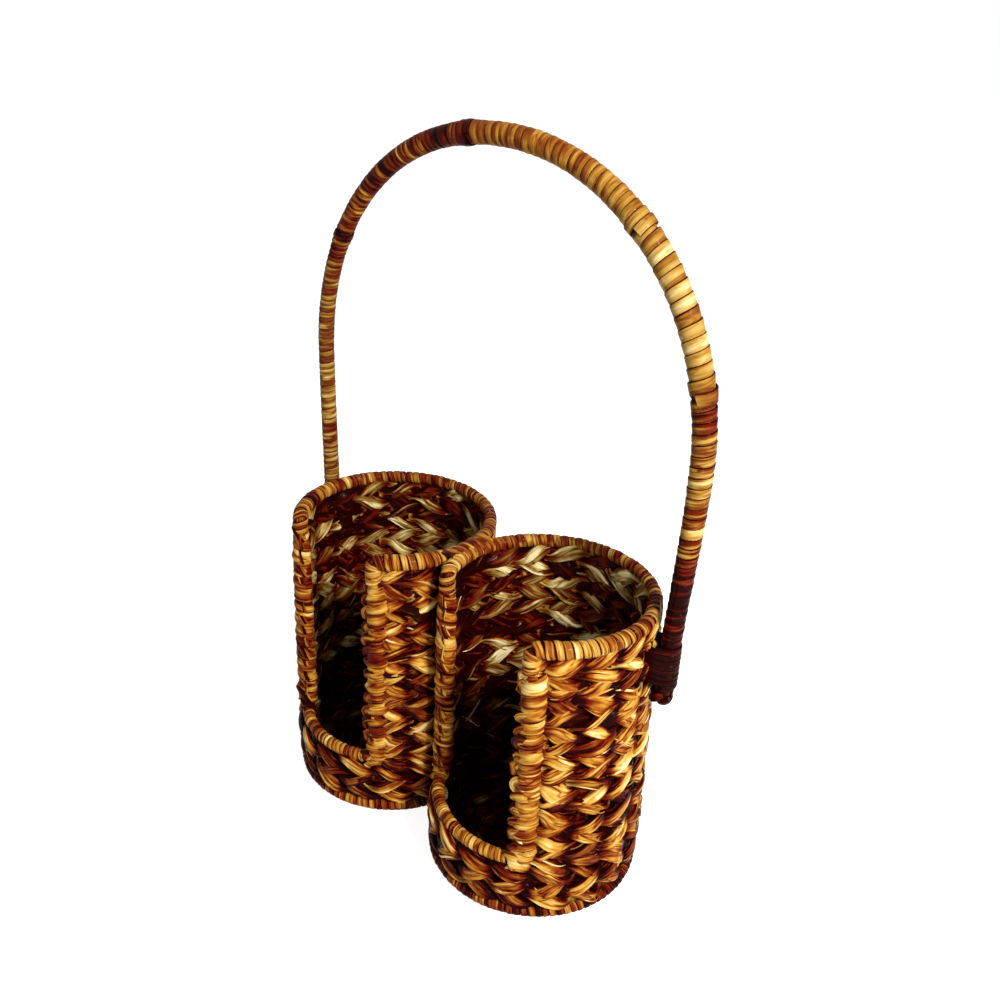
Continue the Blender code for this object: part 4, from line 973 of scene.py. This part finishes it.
class CARRIER_OT_set_stage(bpy.types.Operator):
    """Lays a pale floor, and sets the lights and the camera."""
    bl_idname = "carrier.set_stage"
    bl_label = "Set stage"

    def execute(self, context):
        stage = context.scene.carrier_stage
        body = bmesh.new()
        bmesh.ops.create_circle(body, segments=64, radius=6.0, cap_ends=True)
        mesh = bpy.data.meshes.new("floor")
        body.to_mesh(mesh)
        body.free()
        floor = bpy.data.objects.new("floor", mesh)
        context.scene.collection.objects.link(floor)
        # White paper: dull and even. It adds light only to what the camera and gloss see, so it shows white.
        made, tree = start_material("white_paper")
        path = add_node(tree, "ShaderNodeLightPath").outputs
        seen = add_node(tree, "ShaderNodeMath", {0: path["Is Camera Ray"], 1: path["Is Glossy Ray"]}, operation="MAXIMUM")
        seen = add_node(tree, "ShaderNodeMath", {0: seen.outputs[0], 1: path["Is Transmission Ray"]}, operation="MAXIMUM")
        grain = add_node(tree, "ShaderNodeTexNoise", {"Vector": add_node(tree, "ShaderNodeTexCoord").outputs["Object"],
                                                      "Scale": 900.0, "Detail": 2.0})
        bump = add_node(tree, "ShaderNodeBump", {"Height": grain.outputs[0], "Strength": 0.1, "Distance": 0.0002})
        paper = add_node(tree, "ShaderNodeBsdfPrincipled", {"Base Color": (*stage.floor_colour, 1.0), "Roughness": 0.9,
                                                            "Normal": bump.outputs[0]})
        light = add_node(tree, "ShaderNodeMath", {0: seen.outputs[0], 1: 0.88}, operation="MULTIPLY")
        glow = add_node(tree, "ShaderNodeEmission", {"Color": (1.0, 1.0, 1.0, 1.0), "Strength": light.outputs[0]})
        both = add_node(tree, "ShaderNodeAddShader", {0: paper.outputs[0], 1: glow.outputs[0]})
        add_node(tree, "ShaderNodeOutputMaterial", {"Surface": both.outputs[0]})
        mesh.materials.append(made)
        world = context.scene.world or bpy.data.worlds.new("studio")
        context.scene.world = world
        world.use_nodes = True
        tree = world.node_tree
        tree.nodes.clear()
        path = add_node(tree, "ShaderNodeLightPath").outputs
        seen = add_node(tree, "ShaderNodeMath", {0: path["Is Camera Ray"], 1: path["Is Glossy Ray"]}, operation="MAXIMUM")
        seen = add_node(tree, "ShaderNodeMath", {0: seen.outputs[0], 1: path["Is Transmission Ray"]}, operation="MAXIMUM")
        strength = add_node(tree, "ShaderNodeMapRange", {"Value": seen.outputs[0], "To Min": stage.room_light, "To Max": 1.0})
        sky = add_node(tree, "ShaderNodeBackground", {"Color": (1.0, 1.0, 1.0, 1.0), "Strength": strength.outputs[0]})
        add_node(tree, "ShaderNodeOutputWorld", {"Surface": sky.outputs[0]})
        for name, power, size, place in (("key", stage.key_power, 0.17, (0.83, -0.25, 0.82)),
                                         ("fill", stage.fill_power, 1.2, (-1.3, -0.7, 0.9))):
            light = bpy.data.lights.new(name, "AREA")
            light.energy, light.size = power, size
            lamp = bpy.data.objects.new(name, light)
            lamp.location = place
            lamp.rotation_euler = (Vector((0.0, 0.0, 0.12)) - Vector(place)).to_track_quat("-Z", "Y").to_euler()
            context.scene.collection.objects.link(lamp)
        lens = bpy.data.cameras.new("camera")
        lens.lens, lens.sensor_width = 37.85, 36.0
        camera = bpy.data.objects.new("camera", lens)
        ahead = Vector((-0.59010, 0.67870, -0.43720)).normalized()
        right = Vector((0.74060, 0.67066, 0.04150)).normalized()
        turn = Matrix((right, right.cross(ahead), -ahead)).transposed().to_4x4()
        camera.matrix_world = Matrix.Translation((0.32573, -0.35109, 0.42300)) @ turn
        context.scene.collection.objects.link(camera)
        context.scene.camera = camera
        context.scene.view_settings.view_transform = "Standard"
        return {"FINISHED"}


STEPS = (CARRIER_OT_weave_walls, CARRIER_OT_bind_rims, CARRIER_OT_bind_junction, CARRIER_OT_bind_sills,
         CARRIER_OT_bind_feet, CARRIER_OT_weave_floors, CARRIER_OT_wrap_handle, CARRIER_OT_tie_handle,
         CARRIER_OT_loosen_fibres, CARRIER_OT_finish_wires, CARRIER_OT_set_stage)
SETTINGS = {"carrier_weave": CarrierWeave, "carrier_binding": CarrierBinding, "carrier_finish": CarrierFinish,
            "carrier_stage": CarrierStage}


class CARRIER_PT_panel(bpy.types.Panel):
    """Lists the carrier's settings and its steps."""
    bl_label = "Woven Bottle Carrier"
    bl_idname = "CARRIER_PT_panel"
    bl_space_type = "VIEW_3D"
    bl_region_type = "UI"
    bl_category = "Carrier"

    def draw(self, context):
        for name, group in SETTINGS.items():
            box = self.layout.box()
            box.label(text=group.__doc__)
            for prop in group.__annotations__:
                box.prop(getattr(context.scene, name), prop)
        for step in STEPS:
            self.layout.operator(step.bl_idname)


def register():
    for group in (*SETTINGS.values(), *STEPS, CARRIER_PT_panel):
        bpy.utils.register_class(group)
    for name, group in SETTINGS.items():
        setattr(bpy.types.Scene, name, bpy.props.PointerProperty(type=group))


def unregister():
    for name in SETTINGS:
        delattr(bpy.types.Scene, name)
    for group in (CARRIER_PT_panel, *reversed(STEPS), *reversed(SETTINGS.values())):
        bpy.utils.unregister_class(group)


def main():
    register()
    for name in ("Cube", "Light", "Camera"):
        if name in bpy.data.objects:
            bpy.data.objects.remove(bpy.data.objects[name])
    for step in STEPS:
        getattr(bpy.ops.carrier, step.bl_idname.split(".")[1])()


if __name__ == "__main__":
    main()
